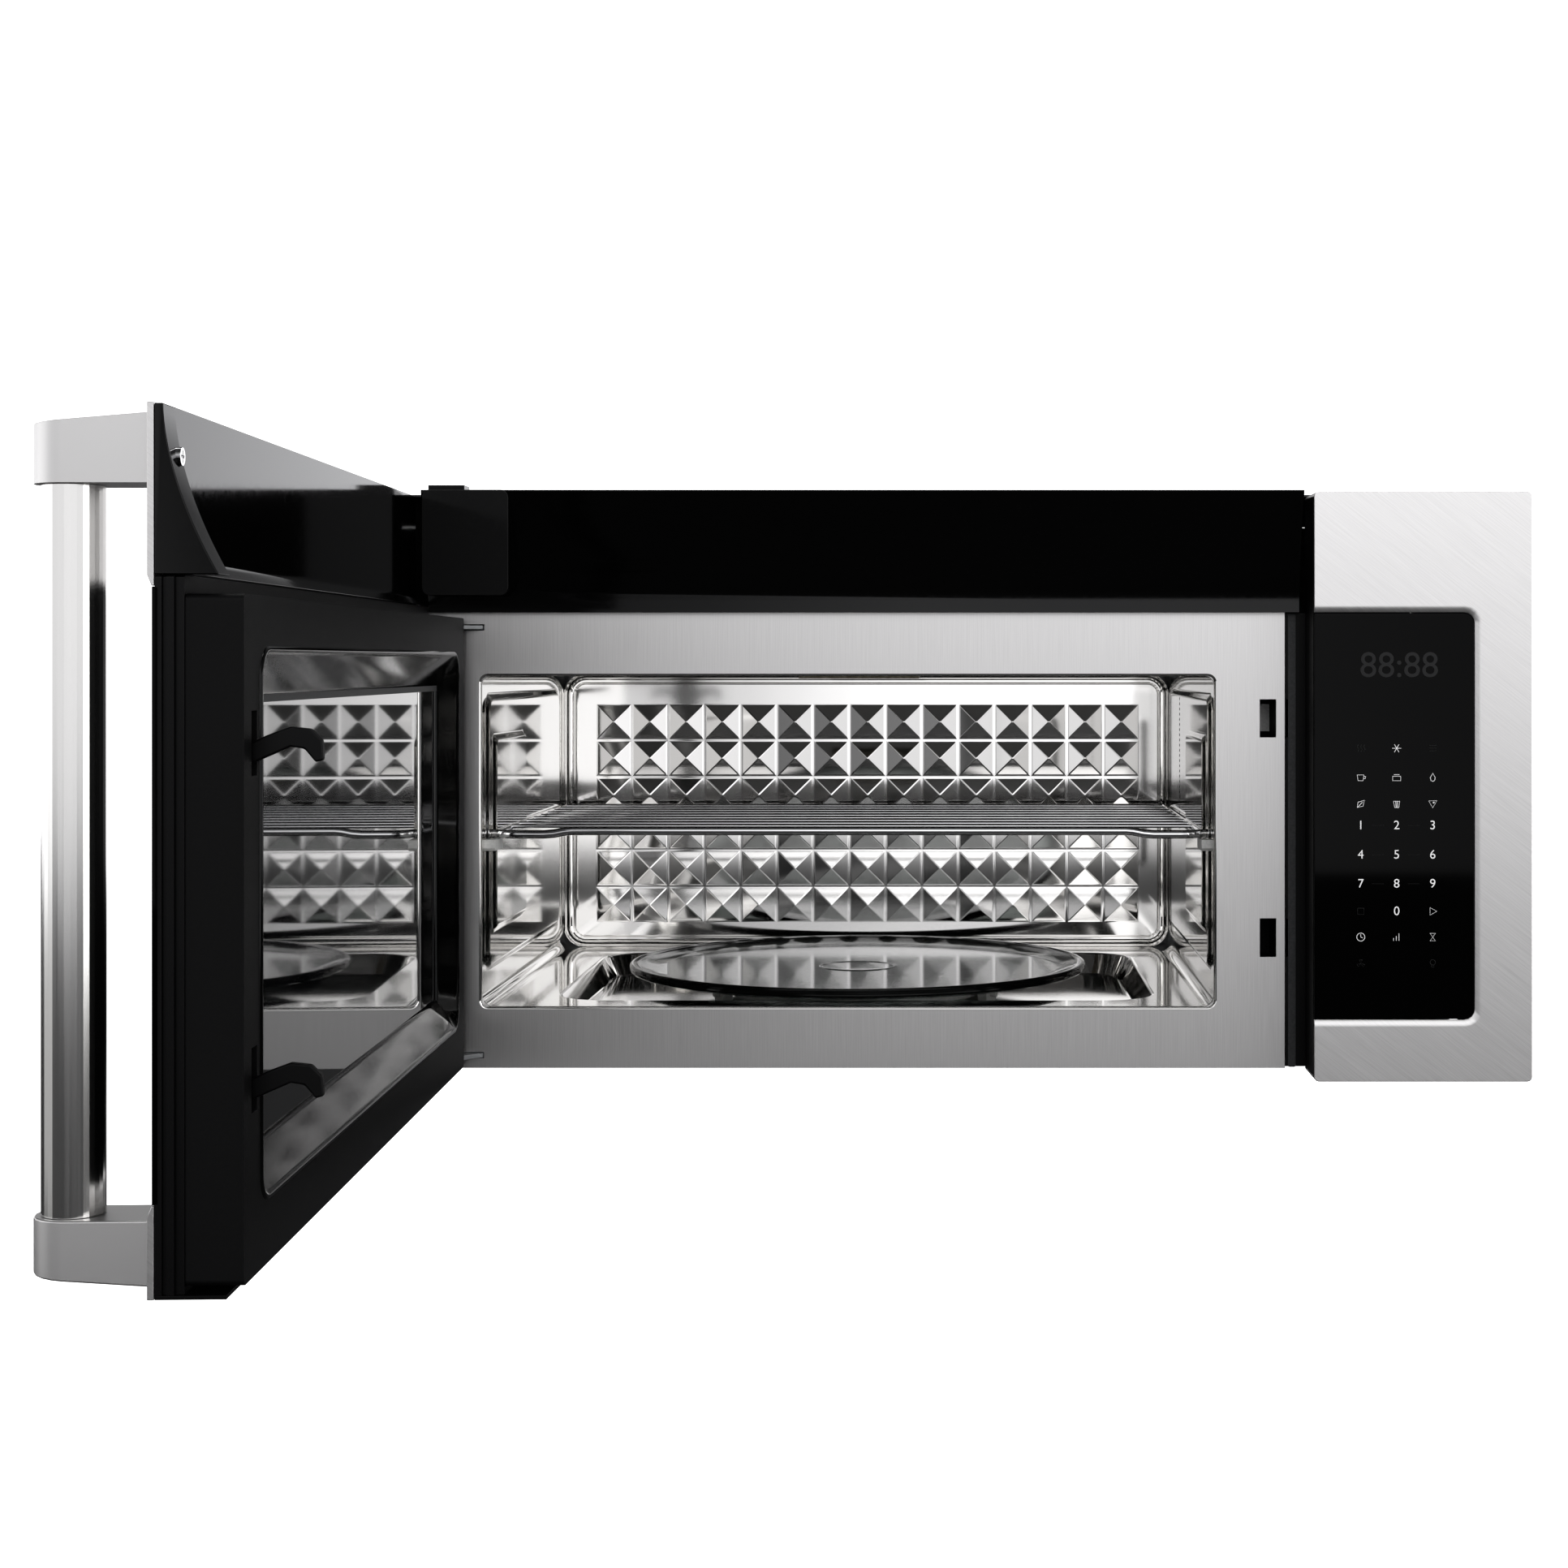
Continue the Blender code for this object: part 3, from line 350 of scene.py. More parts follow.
WALL_LEVEL = 1.3
world = bpy.data.worlds.new("white_room")
bpy.context.scene.world = world
world.use_nodes = True
world_tree = world.node_tree
seen = world_tree.nodes["Background"]
seen.inputs["Color"].default_value = (1, 1, 1, 1)
seen.inputs["Strength"].default_value = 1.4
facing = add(world_tree, "TexCoord")
depth = add(world_tree, "SeparateXYZ", links={0: facing.outputs["Generated"]})
sideways = add(world_tree, "MapRange", {"From Min": -1.0}, {"Value": depth.outputs["X"]})
WALLS_LEFT_TO_RIGHT = [
    (0.0, "#CFCFCF"),
    (0.36, "#D4D4D4"),
    (0.40, "#909090"),
    (0.45, "#C4C4C4"),
    (0.49, "#FFFFFF"),
    (0.57, "#FFFFFF"),
    (0.64, "#D6D6D6"),
    (0.9, "#D2D2D2"),
    (1.0, "#1C1C1C"),
]
front_glow = ramp(world_tree, sideways.outputs["Result"], WALLS_LEFT_TO_RIGHT)
front_gain = {"operation": "MULTIPLY", 1: WALL_LEVEL}
front_level = add(world_tree, "Math", front_gain, {0: front_glow.outputs["Color"]})
horizon = {"From Min": 0.12, "From Max": 0.22, "To Min": WALL_LEVEL, "To Max": 0.15}
backdrop = add(world_tree, "MapRange", horizon, {"Value": depth.outputs["Z"]})
levels = {
    "Value": depth.outputs["Y"],
    "To Min": front_level.outputs["Value"],
    "To Max": backdrop.outputs["Result"],
}
glow = add(world_tree, "MapRange", {"From Min": -0.1, "From Max": 0.3}, levels)
overhead = {"From Min": 0.42, "From Max": 0.62, "To Min": 1.0, "To Max": 0.1}
ceiling = add(world_tree, "MapRange", overhead, {"Value": depth.outputs["Z"]})
both = {0: glow.outputs["Result"], 1: ceiling.outputs["Result"]}
shaded = add(world_tree, "Math", {"operation": "MULTIPLY"}, both)
cool_white = {"Color": (0.98, 0.98, 1, 1)}
room = add(world_tree, "Background", cool_white, {"Strength": shaded.outputs["Value"]})
ray = add(world_tree, "LightPath")
choice = {0: ray.outputs["Is Camera Ray"], 1: room.outputs[0], 2: seen.outputs[0]}
mixed = add(world_tree, "MixShader", links=choice)
world_tree.links.new(mixed.outputs[0], world_tree.nodes["World Output"].inputs["Surface"])

# %% [markdown]
# ## Rounded copies
# Pressed sheet and moulded plastic never end in a knife edge. Each visible solid is copied, its
# loose triangles are welded into clean faces, and its edges are bevelled. The copy then stands for
# the plain solid, which stays in the physics model.

# %% Rounded copies of the engineering solids
def alone(thing):
    """Makes one object the only selected and active one."""
    bpy.ops.object.select_all(action="DESELECT")
    thing.select_set(True)
    bpy.context.view_layer.objects.active = thing


def apply_modifier(thing, kind, settings):
    """Adds one modifier with its settings and bakes it into the mesh."""
    alone(thing)
    modifier = thing.modifiers.new(kind.lower(), kind)
    for key, value in settings.items():
        setattr(modifier, key, value)
    bpy.ops.object.modifier_apply(modifier=modifier.name)


def wear(thing, body, finish, slot, *nodes):
    """Gives a finished piece its material, its body and the solids that it stands for."""
    thing.data.materials.clear()
    thing.data.materials.append(finish)
    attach(thing, body)
    if nodes:
        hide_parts(*nodes)
    return thing


def smooth(thing, angle=32):
    """Shades round edges smoothly while the broad faces beside them stay flat."""
    alone(thing)
    bpy.ops.object.shade_smooth_by_angle(angle=math.radians(angle))
    apply_modifier(thing, "WEIGHTED_NORMAL", {"keep_sharp": True, "weight": 80})


BODIES = frame["record"]["behaviour"]["bodies"]
BODY_OF = {node: body for body, nodes in BODIES.items() for node in nodes}
SLOT_OF = {entry["node"]: entry["material_slot"] for entry in frame["record"]["subparts"]}


def rounded_copy(node, finish, width, segments=2, angle=35):
    """A welded copy of a solid with its edges rounded by width millimetres."""
    source = frame["nodes"][node]
    made = bpy.data.objects.new(node + "_finished", source.data.copy())
    bpy.context.scene.collection.objects.link(made)
    alone(made)
    bpy.ops.object.mode_set(mode="EDIT")
    bpy.ops.mesh.select_all(action="SELECT")
    bpy.ops.mesh.remove_doubles(threshold=0.000005)
    bpy.ops.mesh.dissolve_limited(angle_limit=math.radians(1))
    bpy.ops.mesh.normals_make_consistent(inside=False)
    bpy.ops.object.mode_set(mode="OBJECT")
    rounding = {"width": width * MM, "segments": segments, "limit_method": "ANGLE"}
    apply_modifier(made, "BEVEL", {**rounding, "angle_limit": math.radians(angle)})
    smooth(made)
    return wear(made, BODY_OF[node], finish, SLOT_OF[node], node)


ROUNDED = (
    ("control_fascia", brushed_panel, 0.9, 3),
    ("door_skin", brushed_panel, 0.6, 3),
    ("front_frame", rolled_flange, 0.4, 2),
    ("vent_fascia", gloss_black, 1.6, 3),
    ("side_trim", frame_black, 0.5, 2),
    ("latch_bar", frame_black, 0.9, 3),
    ("handle_bracket_upper", satin_cast, 0.9, 3, 60),
    ("handle_bracket_lower", satin_cast, 0.9, 3, 60),
    ("control_glass", black_glass, 0.4, 2),
    ("door_glass", black_glass, 0.4, 2),
    ("rack_rail_left", white_nylon, 0.9, 3),
    ("rack_rail_right", white_nylon, 0.9, 3),
    ("hinge_bracket_upper", zinc_steel, 0.5, 2),
    ("hinge_bracket_lower", zinc_steel, 0.5, 2),
    ("roller_ring", white_nylon, 0.8, 2),
    ("roller_wheel_1", white_nylon, 0.9, 3),
    ("roller_wheel_2", white_nylon, 0.9, 3),
    ("roller_wheel_3", white_nylon, 0.9, 3),
    ("drive_coupler", white_nylon, 0.6, 2),
    ("cabinet_wrap", painted_case, 0.5, 2),
    ("damper_frame", zinc_steel, 0.4, 2),
    ("cord_bushing", satin_black, 0.5, 2),
)
for settings in ROUNDED:
    rounded_copy(*settings)
print("rounded copies:", len(ROUNDED))

# %% [markdown]
# ## Solids that keep their own mesh
# Pieces that are already the right shape, or that sit deep inside, only need their finish. Doing
# it from one table keeps every piece on a named material.

# %% Finishes for the solids that stay
KEPT = {
    polished_steel: ("cavity_ceiling",),
    zinc_steel: (
        "rear_panel", "grease_filter_left", "grease_filter_right", "turntable_motor", "waveguide",
        "magnetron", "high_voltage_capacitor", "blower_housing", "vent_motor",
        "convection_housing", "convection_heater", "convection_fan", "convection_motor",
        "damper_flap",
    ),
    painted_case: ("base_pan", "choke_panel"),
    satin_black: ("blower_wheel", "latch_bracket"),
    lamp_glass: ("cavity_lamp", "cooktop_lamp_lens"),
    white_nylon: ("interlock_plunger",),
    varnished_core: ("high_voltage_transformer",),
    board_resist: ("control_board",),
    mica_sheet: ("waveguide_cover",),
    bright_tube: ("handle_bar",),
    chrome_wire: ("latch_spring",),
}
for finish, nodes in KEPT.items():
    for node in nodes:
        thing = frame["nodes"][node]
        thing.data.materials.clear()
        thing.data.materials.append(finish)
print("kept solids finished:", sum(len(nodes) for nodes in KEPT.values()))

# %% [markdown]
# ## Tools for sheet metal
# Three small tools make most pieces. A flat outline is thickened into a plate. A section is swept
# round a path, as a press rolls an edge. A disc is drawn out ring by ring, as a potter turns a
# dish. Each returns a welded mesh whose faces point outwards.

# %% Plates, swept sections and turned shapes
def rounded(a0, a1, b0, b1, radius, steps=6):
    """A rectangle from a0 to a1 and b0 to b1 with round corners, anticlockwise."""
    left, right = a0 + radius, a1 - radius
    low, high = b0 + radius, b1 - radius
    corners = ((right, low, 270), (right, high, 0), (left, high, 90), (left, low, 180))
    points = []
    for a, b, start in corners:
        for k in range(steps + 1):
            t = math.radians(start + 90 * k / steps)
            points.append((a + radius * math.cos(t), b + radius * math.sin(t)))
    return points


LAY = {
    "X": Matrix(((0, 0, 1), (1, 0, 0), (0, 1, 0))),
    "Y": Matrix(((1, 0, 0), (0, 0, -1), (0, 1, 0))),
    "Z": Matrix.Identity(3),
}


def outline_curve(name, along, level, outlines):
    """Closed outlines in a plane that faces along one axis, as a flat curve."""
    curve = bpy.data.curves.new(name, "CURVE")
    curve.dimensions = "2D"
    curve.fill_mode = "BOTH"
    for outline in outlines:
        run = curve.splines.new("POLY")
        run.points.add(len(outline) - 1)
        run.use_cyclic_u = True
        for point, (a, b) in zip(run.points, outline):
            point.co = (a * MM, b * MM, 0, 1)
    made = bpy.data.objects.new(name, curve)
    bpy.context.scene.collection.objects.link(made)
    shift = Vector([level * MM * (axis == along) for axis in "XYZ"])
    made.matrix_world = Matrix.Translation(HOME + shift) @ LAY[along].to_4x4()
    return made


def to_mesh(made, name):
    """Turns a curve into a welded mesh with its place baked in."""
    alone(made)
    bpy.ops.object.convert(target="MESH")
    made = bpy.context.object
    bpy.ops.object.transform_apply(location=True, rotation=True, scale=True)
    bpy.ops.object.mode_set(mode="EDIT")
    bpy.ops.mesh.select_all(action="SELECT")
    bpy.ops.mesh.remove_doubles(threshold=0.00001)
    bpy.ops.mesh.normals_make_consistent(inside=False)
    bpy.ops.object.mode_set(mode="OBJECT")
    made.name = name
    return made


def plate(name, along, low, high, *outlines):
    """A plate between two levels; any outline inside the first is a hole in it."""
    made = outline_curve(name, along, (low + high) / 2, outlines)
    made.data.extrude = abs(high - low) / 2 * MM
    return to_mesh(made, name)


def swept(name, along, level, path, section):
    """A thin section, given as (outwards, along) points, swept round a closed path."""
    profile = bpy.data.curves.new(name + "_section", "CURVE")
    run = profile.splines.new("POLY")
    run.points.add(len(section) - 1)
    for point, (out, rise) in zip(run.points, section):
        point.co = (-out * MM, rise * MM, 0, 1)
    guide = bpy.data.objects.new(name + "_section", profile)
    bpy.context.scene.collection.objects.link(guide)
    made = outline_curve(name, along, level, [path])
    made.data.fill_mode = "NONE"
    made.data.bevel_mode = "OBJECT"
    made.data.bevel_object = guide
    made = to_mesh(made, name)
    bpy.data.objects.remove(guide)
    return made


def joined(name, *pieces):
    """Makes one object of several."""
    alone(pieces[0])
    for piece in pieces[1:]:
        piece.select_set(True)
    bpy.ops.object.join()
    pieces[0].name = name
    return pieces[0]


def carved(thing, tool):
    """Cuts the tool out of the thing and throws the tool away."""
    apply_modifier(thing, "BOOLEAN", {"object": tool, "operation": "DIFFERENCE", "solver": "EXACT"})
    bpy.data.objects.remove(tool)
    return thing


def softened(thing, width, segments=2, angle=35):
    """Rounds the edges that are sharper than angle."""
    rounding = {"width": width * MM, "segments": segments, "limit_method": "ANGLE"}
    apply_modifier(thing, "BEVEL", {**rounding, "angle_limit": math.radians(angle)})
    smooth(thing)
    return thing


def opened(thing):
    """Turns a piece drawn on the shut door to where the door stands."""
    alone(thing)
    thing.matrix_world = SHUT_TO_OPEN
    bpy.ops.object.transform_apply(location=True, rotation=True, scale=True)
    return thing


def block(name, xs, ys, zs):
    """A plain box between pairs of levels, used as a strip or as a cutter."""
    centre = [(low + high) / 2 for low, high in (xs, ys, zs)]
    bpy.ops.mesh.primitive_cube_add(size=MM, location=place(*centre))
    made = bpy.context.object
    made.scale = [high - low for low, high in (xs, ys, zs)]
    made.name = name
    bpy.ops.object.transform_apply(location=True, rotation=True, scale=True)
    return made


def turned(name, centre, rings, steps=96):
    """A closed dish drawn out of a disc through (radius, height) rings."""
    first_radius, first_height = rings[0]
    foot = place(centre[0], centre[1], first_height)
    bpy.ops.mesh.primitive_circle_add(
        vertices=steps, radius=first_radius * MM, fill_type="NGON", location=foot
    )
    made = bpy.context.object
    bpy.ops.object.transform_apply(location=True, rotation=True, scale=True)
    bpy.ops.object.mode_set(mode="EDIT")
    bpy.ops.mesh.select_all(action="SELECT")
    radius, height = rings[0]
    for next_radius, next_height in rings[1:]:
        bpy.ops.mesh.extrude_region_move()
        scale = next_radius / radius
        bpy.ops.transform.resize(value=(scale, scale, 1), center_override=place(*centre, height))
        bpy.ops.transform.translate(value=(0, 0, (next_height - height) * MM))
        radius, height = next_radius, next_height
    bpy.ops.mesh.select_all(action="SELECT")
    bpy.ops.mesh.normals_make_consistent(inside=False)
    bpy.ops.object.mode_set(mode="OBJECT")
    made.name = name
    return made


def quarter(centre, radius, start, steps=5, turn=90):
    """An arc as (a, b) points, from start degrees through turn degrees."""
    angles = [math.radians(start + turn * k / steps) for k in range(steps + 1)]
    return [(centre[0] + radius * math.cos(t), centre[1] + radius * math.sin(t)) for t in angles]


# %% [markdown]
# ## The pressed back wall
# The back of the oven is one sheet with a field of four-sided points, which scatter the
# microwaves and the light. A grid is inset cell by cell for the grooves, and each cell is poked
# into a point. The rim is a rolled groove, swept round the sheet, that meets the walls.

# %% Back wall
COLUMNS, ROWS = 15, 6
FIELD = (75.4, 527.7, 63.5, 246.0)
OVEN = (50.0, 551.5, 44.4, 270.7)
OVEN_FRONT = 1.5
OVEN_BACK = 366.0
RIM_WIDTH = 9.0
POINT_HEIGHT = 2.5
GROOVE = 1.3
RIDGE_ROUNDING = 0.7
SHEET = 0.8

bpy.ops.mesh.primitive_grid_add(
    x_subdivisions=COLUMNS,
    y_subdivisions=ROWS,
    size=1,
    rotation=(math.pi / 2, 0, 0),
    location=place((FIELD[0] + FIELD[1]) / 2, OVEN_BACK - 0.15, (FIELD[2] + FIELD[3]) / 2),
)
points = bpy.context.object
points.scale = ((FIELD[1] - FIELD[0]) * MM, (FIELD[3] - FIELD[2]) * MM, 1)
bpy.ops.object.transform_apply(location=True, rotation=True, scale=True)
bpy.ops.object.mode_set(mode="EDIT")
bpy.ops.mesh.select_all(action="SELECT")
bpy.ops.mesh.inset(thickness=GROOVE * MM, use_individual=True)
bpy.ops.mesh.poke(offset=POINT_HEIGHT * MM)
bpy.ops.object.mode_set(mode="OBJECT")
ridges = {"width": RIDGE_ROUNDING * MM, "segments": 3}
apply_modifier(points, "BEVEL", {**ridges, "limit_method": "ANGLE", "angle_limit": math.radians(6)})
flat = (OVEN[0] + RIM_WIDTH, OVEN[1] - RIM_WIDTH, OVEN[2] + RIM_WIDTH, OVEN[3] - RIM_WIDTH)
sheet = plate("sheet", "Y", OVEN_BACK, OVEN_BACK + SHEET, rounded(*flat, 8))
BEAD = [(0, 0), (0.7, 0.4), (1.4, 1.6), (2.4, 2.2), (3.6, 2.2), (4.6, 1.6), (5.2, 0.4)]
ROLL = BEAD + [(6.0, -0.8), (7.2, -2.2), (8.4, -4.6), (RIM_WIDTH, -8.0)]
roll = swept("roll", "Y", OVEN_BACK, rounded(*flat, 8), [(out, -rise) for out, rise in ROLL])
back = joined("pressed_back_wall", points, sheet, roll)
smooth(back, 12)
wear(back, "cabinet", polished_steel, "polished_steel", "cavity_back_wall")
print("back wall faces:", len(back.data.polygons))

# %% [markdown]
# ## Side walls and floor
# Large flat sheets ring like a drum, so the side walls are stiffened with nested panels pressed
# towards the middle. The floor has a shallow well with sloping sides for the roller ring. All of
# them are plates with swept steps, and a concave strip rounds the corner along each side.

# %% Side walls and floor
STEP = [(0, 0), (1.2, 0.15), (2.4, 0.8), (3.6, 2.0), (4.8, 2.7), (6.0, 3.0)]
STEP_RUN, STEP_RISE = STEP[-1]
CORNER_RADIUS = 8
OUTER_PANEL = (10, 322, 66, 259)
INNER_PANEL = (20, 150, 92, 231)


def shrunk(outline, margin):
    """The rectangle a0, a1, b0, b1 brought in by margin on every side."""
    a0, a1, b0, b1 = outline
    return (a0 + margin, a1 - margin, b0 + margin, b1 - margin)


for side, face, sign in (("left", OVEN[0], 1), ("right", OVEN[1], -1)):
    whole = rounded(OVEN_FRONT, OVEN_BACK - 8, OVEN[2], OVEN[3], 1, 2)
    outer = rounded(*OUTER_PANEL, 14)
    inner = rounded(*INNER_PANEL, 10)
    raised = face + STEP_RISE * sign
    topmost = raised + STEP_RISE * sign
    back_of = SHEET * sign
    press = [(-out, rise * sign) for out, rise in STEP]
    pieces = [
        plate("wall", "X", face, face - back_of, whole, outer),
        swept("outer_step", "X", face, outer, press),
        plate("ledge", "X", raised, raised - back_of, rounded(*shrunk(OUTER_PANEL, STEP_RUN), 8), inner),
        swept("inner_step", "X", raised, inner, press),
        plate("panel", "X", topmost, topmost - back_of, rounded(*shrunk(INNER_PANEL, STEP_RUN), 4)),
    ]
    centre = (face + CORNER_RADIUS * sign, OVEN[2] + CORNER_RADIUS)
    bend = quarter(centre, CORNER_RADIUS, 180 if sign > 0 else 360, 6, 90 * sign)
    pieces.append(plate("corner", "Y", OVEN_FRONT, OVEN_BACK - 6, [(face, OVEN[2])] + bend))
    wall = joined("pressed_wall_" + side, *pieces)
    smooth(wall, 40)
    wear(wall, "cabinet", polished_steel, "polished_steel", f"cavity_{side}_wall")

WELL = (92, 516, 30, 318)
WELL_DEPTH = 16.4
SLOPE = [(0, 0), (1.0, -0.2), (2.2, -1.0)]
SLOPE += [(9.0, 1.0 - WELL_DEPTH), (10.2, 0.2 - WELL_DEPTH), (11.2, -WELL_DEPTH)]
level = OVEN[2]
edge = rounded(OVEN[0], OVEN[1], OVEN_FRONT, OVEN_BACK - 6, 1, 2)
low = level - WELL_DEPTH
mouth = rounded(*WELL, 40, 8)
bottom = rounded(*shrunk(WELL, SLOPE[-1][0]), 29, 8)
floor_pieces = [
    plate("brim", "Z", level, level - SHEET, edge, mouth),
    swept("slope", "Z", level, mouth, [(-out, rise) for out, rise in SLOPE]),
    plate("bottom", "Z", low, low - SHEET, bottom),
]
pan = joined("pressed_floor", *floor_pieces)
smooth(pan, 40)
wear(pan, "cabinet", polished_steel, "polished_steel", "cavity_floor")

strip = softened(plate("seal_strip", "Y", -0.6, 0.0, rounded(602.2, 607.4, 3, 313, 1, 3)), 0.2)
wear(strip, "cabinet", grey_seal, "black_plastic")

# Painted shade: black discs on the right wall stand in for the dark inside of its vent holes.
hole_shade_dots = []
DOT_PLACE = (OVEN[1] - 3.0, 225)
DOT_COUNT, DOT_PITCH, LOWEST_DOT = 27, 4, 152
sideways_on = (0, math.pi / 2, 0)
for k in range(DOT_COUNT):
    spot = place(*DOT_PLACE, LOWEST_DOT + DOT_PITCH * k)
    bpy.ops.mesh.primitive_cylinder_add(
        vertices=12, radius=1.1 * MM, depth=0.3 * MM, location=spot, rotation=sideways_on
    )
    bpy.ops.object.transform_apply(location=True, rotation=True, scale=True)
    hole_shade_dots.append(bpy.context.object)
vent_hole_shade = joined("vent_hole_shade_discs", *hole_shade_dots)
wear(vent_hole_shade, "cabinet", frame_black, "polished_steel")

lip_path = rounded(OVEN[0], OVEN[1], OVEN[2], OVEN[3], 4.5, 5)
lip = swept("oven_lip", "Y", 1.0, lip_path, quarter((1.6, 1.2), 1.6, 270, 6, -180))
smooth(lip, 40)
wear(lip, "cabinet", polished_steel, "stainless")
print("oven sheets made")

# %% [markdown]
# ## Glass tray
# The tray is pressed glass: a flat plate, a slope and a thick rim with fine ribs that catch
# the light. It is turned from a disc so that its inside is as true as its outside.

# %% Glass tray
UNDER = [(6, 0), (150, 0), (158, 0.8), (164, 2.6), (169.5, 3.4)]
RIM = [(171, 4.0), (171.8, 5.0), (171.4, 5.9), (172, 6.6)]
RIM += [(171.6, 7.4), (172, 8.2), (171.4, 9.2), (170.2, 9.9)]
INSIDE = [(168.5, 9.9), (167.2, 9.2), (166, 9.4), (164.8, 8.6), (163.4, 8.2)]
INSIDE += [(161, 7.4), (157, 6.2), (152, 5.2), (148, 5)]
BOSS = [(30, 5), (29, 5.5), (27.5, 5.5), (26.5, 5), (4, 5)]
rings = [(radius, TRAY_Z + height) for radius, height in UNDER + RIM + INSIDE + BOSS]
tray = turned("turned_glass_tray", TRAY_CENTRE, rings)
smooth(tray, 50)
wear(tray, "turntable", tray_glass, "clear_glass", "glass_tray")

# %% [markdown]
# ## Wire rack
# The rack is bent from one thick wire, with thin wires welded across. The front run is raised
# between its ends so that a hand can find it. Each wire is a round tube drawn along its line.

# %% Wire rack
def tube(name, points, radius, closed=False):
    """A round wire along points in millimetres."""
    curve = bpy.data.curves.new(name, "CURVE")
    curve.dimensions = "3D"
    curve.bevel_depth = radius * MM
    curve.bevel_resolution = 4
    curve.use_fill_caps = True
    run = curve.splines.new("POLY")
    run.points.add(len(points) - 1)
    run.use_cyclic_u = closed
    for point, where in zip(run.points, points):
        point.co = (*place(*where), 1)
    made = bpy.data.objects.new(name, curve)
    bpy.context.scene.collection.objects.link(made)
    return to_mesh(made, name)


RACK = (57, 544.5, 18, 340)
RACK_Z = 161
THICK, THIN = 3.0, 1.3
loop = [(x, y, RACK_Z) for x, y in rounded(*RACK, 14, 8)]
raise_run = [(RACK[0] + 33, 0), (RACK[0] + 40, 0.6), (RACK[0] + 47, 2.0), (RACK[0] + 52, 2.4)]
front = [(x, RACK[2], RACK_Z + up) for x, up in raise_run]
front += [(RACK[0] + RACK[1] - x, RACK[2], RACK_Z + up) for x, up in reversed(raise_run)]
wires = [tube("rack_frame", loop + front, THICK, True)]
BARS = 9
FIRST_BAR, LAST_BAR = RACK[2] + 50, RACK[3] - 20
WELD_OVERLAP = 0.6
for k in range(BARS):
    y = FIRST_BAR + k * (LAST_BAR - FIRST_BAR) / (BARS - 1)
    ends = [(x, y, RACK_Z + THICK - WELD_OVERLAP) for x in (RACK[0] + 1.5, RACK[1] - 1.5)]
    wires.append(tube("bar", ends, THIN))
rack = joined("bent_wire_rack", *wires)
smooth(rack, 50)
wear(rack, "rack", chrome_wire, "chrome_wire", "wire_rack")
print("rack wires:", len(wires))

# %% [markdown]
# ## The inside of the door
# The inside of the door is three mouldings: a dark frame with stepped edges, a satin cover and a
# glossy sloping surround that leads to the glass. A thin lip along the foot of the frame closes
# the gap under the cover. They are drawn on the shut door, from the room side inwards, and then
# turned with it.

# %% Door mouldings
COVER = (12, 608, 5, 310)
SURROUND = (37, 578, 35, 286)
BEZEL_WIDTH = 23
SKIN_BACK, COVER_BACK = -39.7, -27.2
DOOR_END = 610.7
LAYERS = (
    (SKIN_BACK, -36.6, DOOR_END),
    (-36.6, -34.6, DOOR_END - 1.4),
    (-34.6, -31.2, DOOR_END),
    (-31.2, COVER_BACK, DOOR_END - 1.9),
)
hole = rounded(*SURROUND, 14)
rims = []
for near, far, right in LAYERS:
    rims.append(plate("rim", "Y", near, far, rounded(1.0, right, 1.0, 318.0, 1.2, 3), hole))
rims.append(block("drip_lip", (1.0, DOOR_END), (SKIN_BACK, -8.5), (0.1, 1.9)))
shell = joined("stepped_door_frame", *rims)
softened(shell, 0.4)
wear(opened(shell), "door", frame_black, "black_plastic", "door_frame")

COVER_FACE = -1.5
HOOK_LEVELS = (232, 81.7)
cover = plate("cover", "Y", COVER_BACK, COVER_FACE, rounded(*COVER, 3, 4), hole)
for z in HOOK_LEVELS:
    carved(cover, block("slot", (584.5, 594.5), (-14, 0), (z - 3, z + 26)))
softened(cover, 0.9, 3)
wear(opened(cover), "door", satin_black, "black_plastic", "choke_cover")

BEZEL = [(1.2, 0.0), (0.4, 0.9), (-0.8, 1.1), (-2.0, 0.5), (-3.0, -0.8)]
BEZEL += [(-20.0, -9.4), (-21.6, -10.6), (-22.4, -11.6), (-BEZEL_WIDTH, -12.6)]
bezel = swept("window_surround", "Y", COVER_FACE, hole, [(out, -rise) for out, rise in BEZEL])
smooth(bezel, 40)
wear(opened(bezel), "door", gloss_black, "black_plastic")

glazed = rounded(*shrunk(SURROUND, BEZEL_WIDTH - 1), 3, 3)
pane = softened(plate("window_pane", "Y", -16, -13.2, glazed), 0.3)
wear(opened(pane), "door", window_glass, "clear_glass", "inner_window")

# %% [markdown]
# ## The door's top trim
# Above the window the door is a flat glossy plate. Its free end has a rib that is deep at its foot
# and hollows away to nothing at its top, so that it clears the grille. The rib is one outline,
# given depth by a power law, and pushed along the door. The plate's foot is rounded to catch light.

# %% Door top trim and its screw
SHOULDER, TRIM_TOP = 318.3, 393.5
TRIM_STEPS = 20
TRIM_FACE = -36.2
RIB_WIDTH = 19.7
RIB_TIP, RIB_DEPTH, RIB_POWER = -36, 24.2, 1.75
FOOT_RADIUS = 1.6

rib_face = []
for k in range(TRIM_STEPS + 1):
    s = k / TRIM_STEPS
    depth_here = RIB_TIP + RIB_DEPTH * (1 - s) ** RIB_POWER
    rib_face.append((depth_here, SHOULDER + (TRIM_TOP - SHOULDER) * s))
rib_outline = [(SKIN_BACK, SHOULDER)] + rib_face + [(SKIN_BACK, TRIM_TOP)]
rib = plate("rib", "X", DOOR_END - RIB_WIDTH, DOOR_END, rib_outline)
softened(rib, 0.5, 3)
wear(opened(rib), "door", gloss_black, "gloss_black")

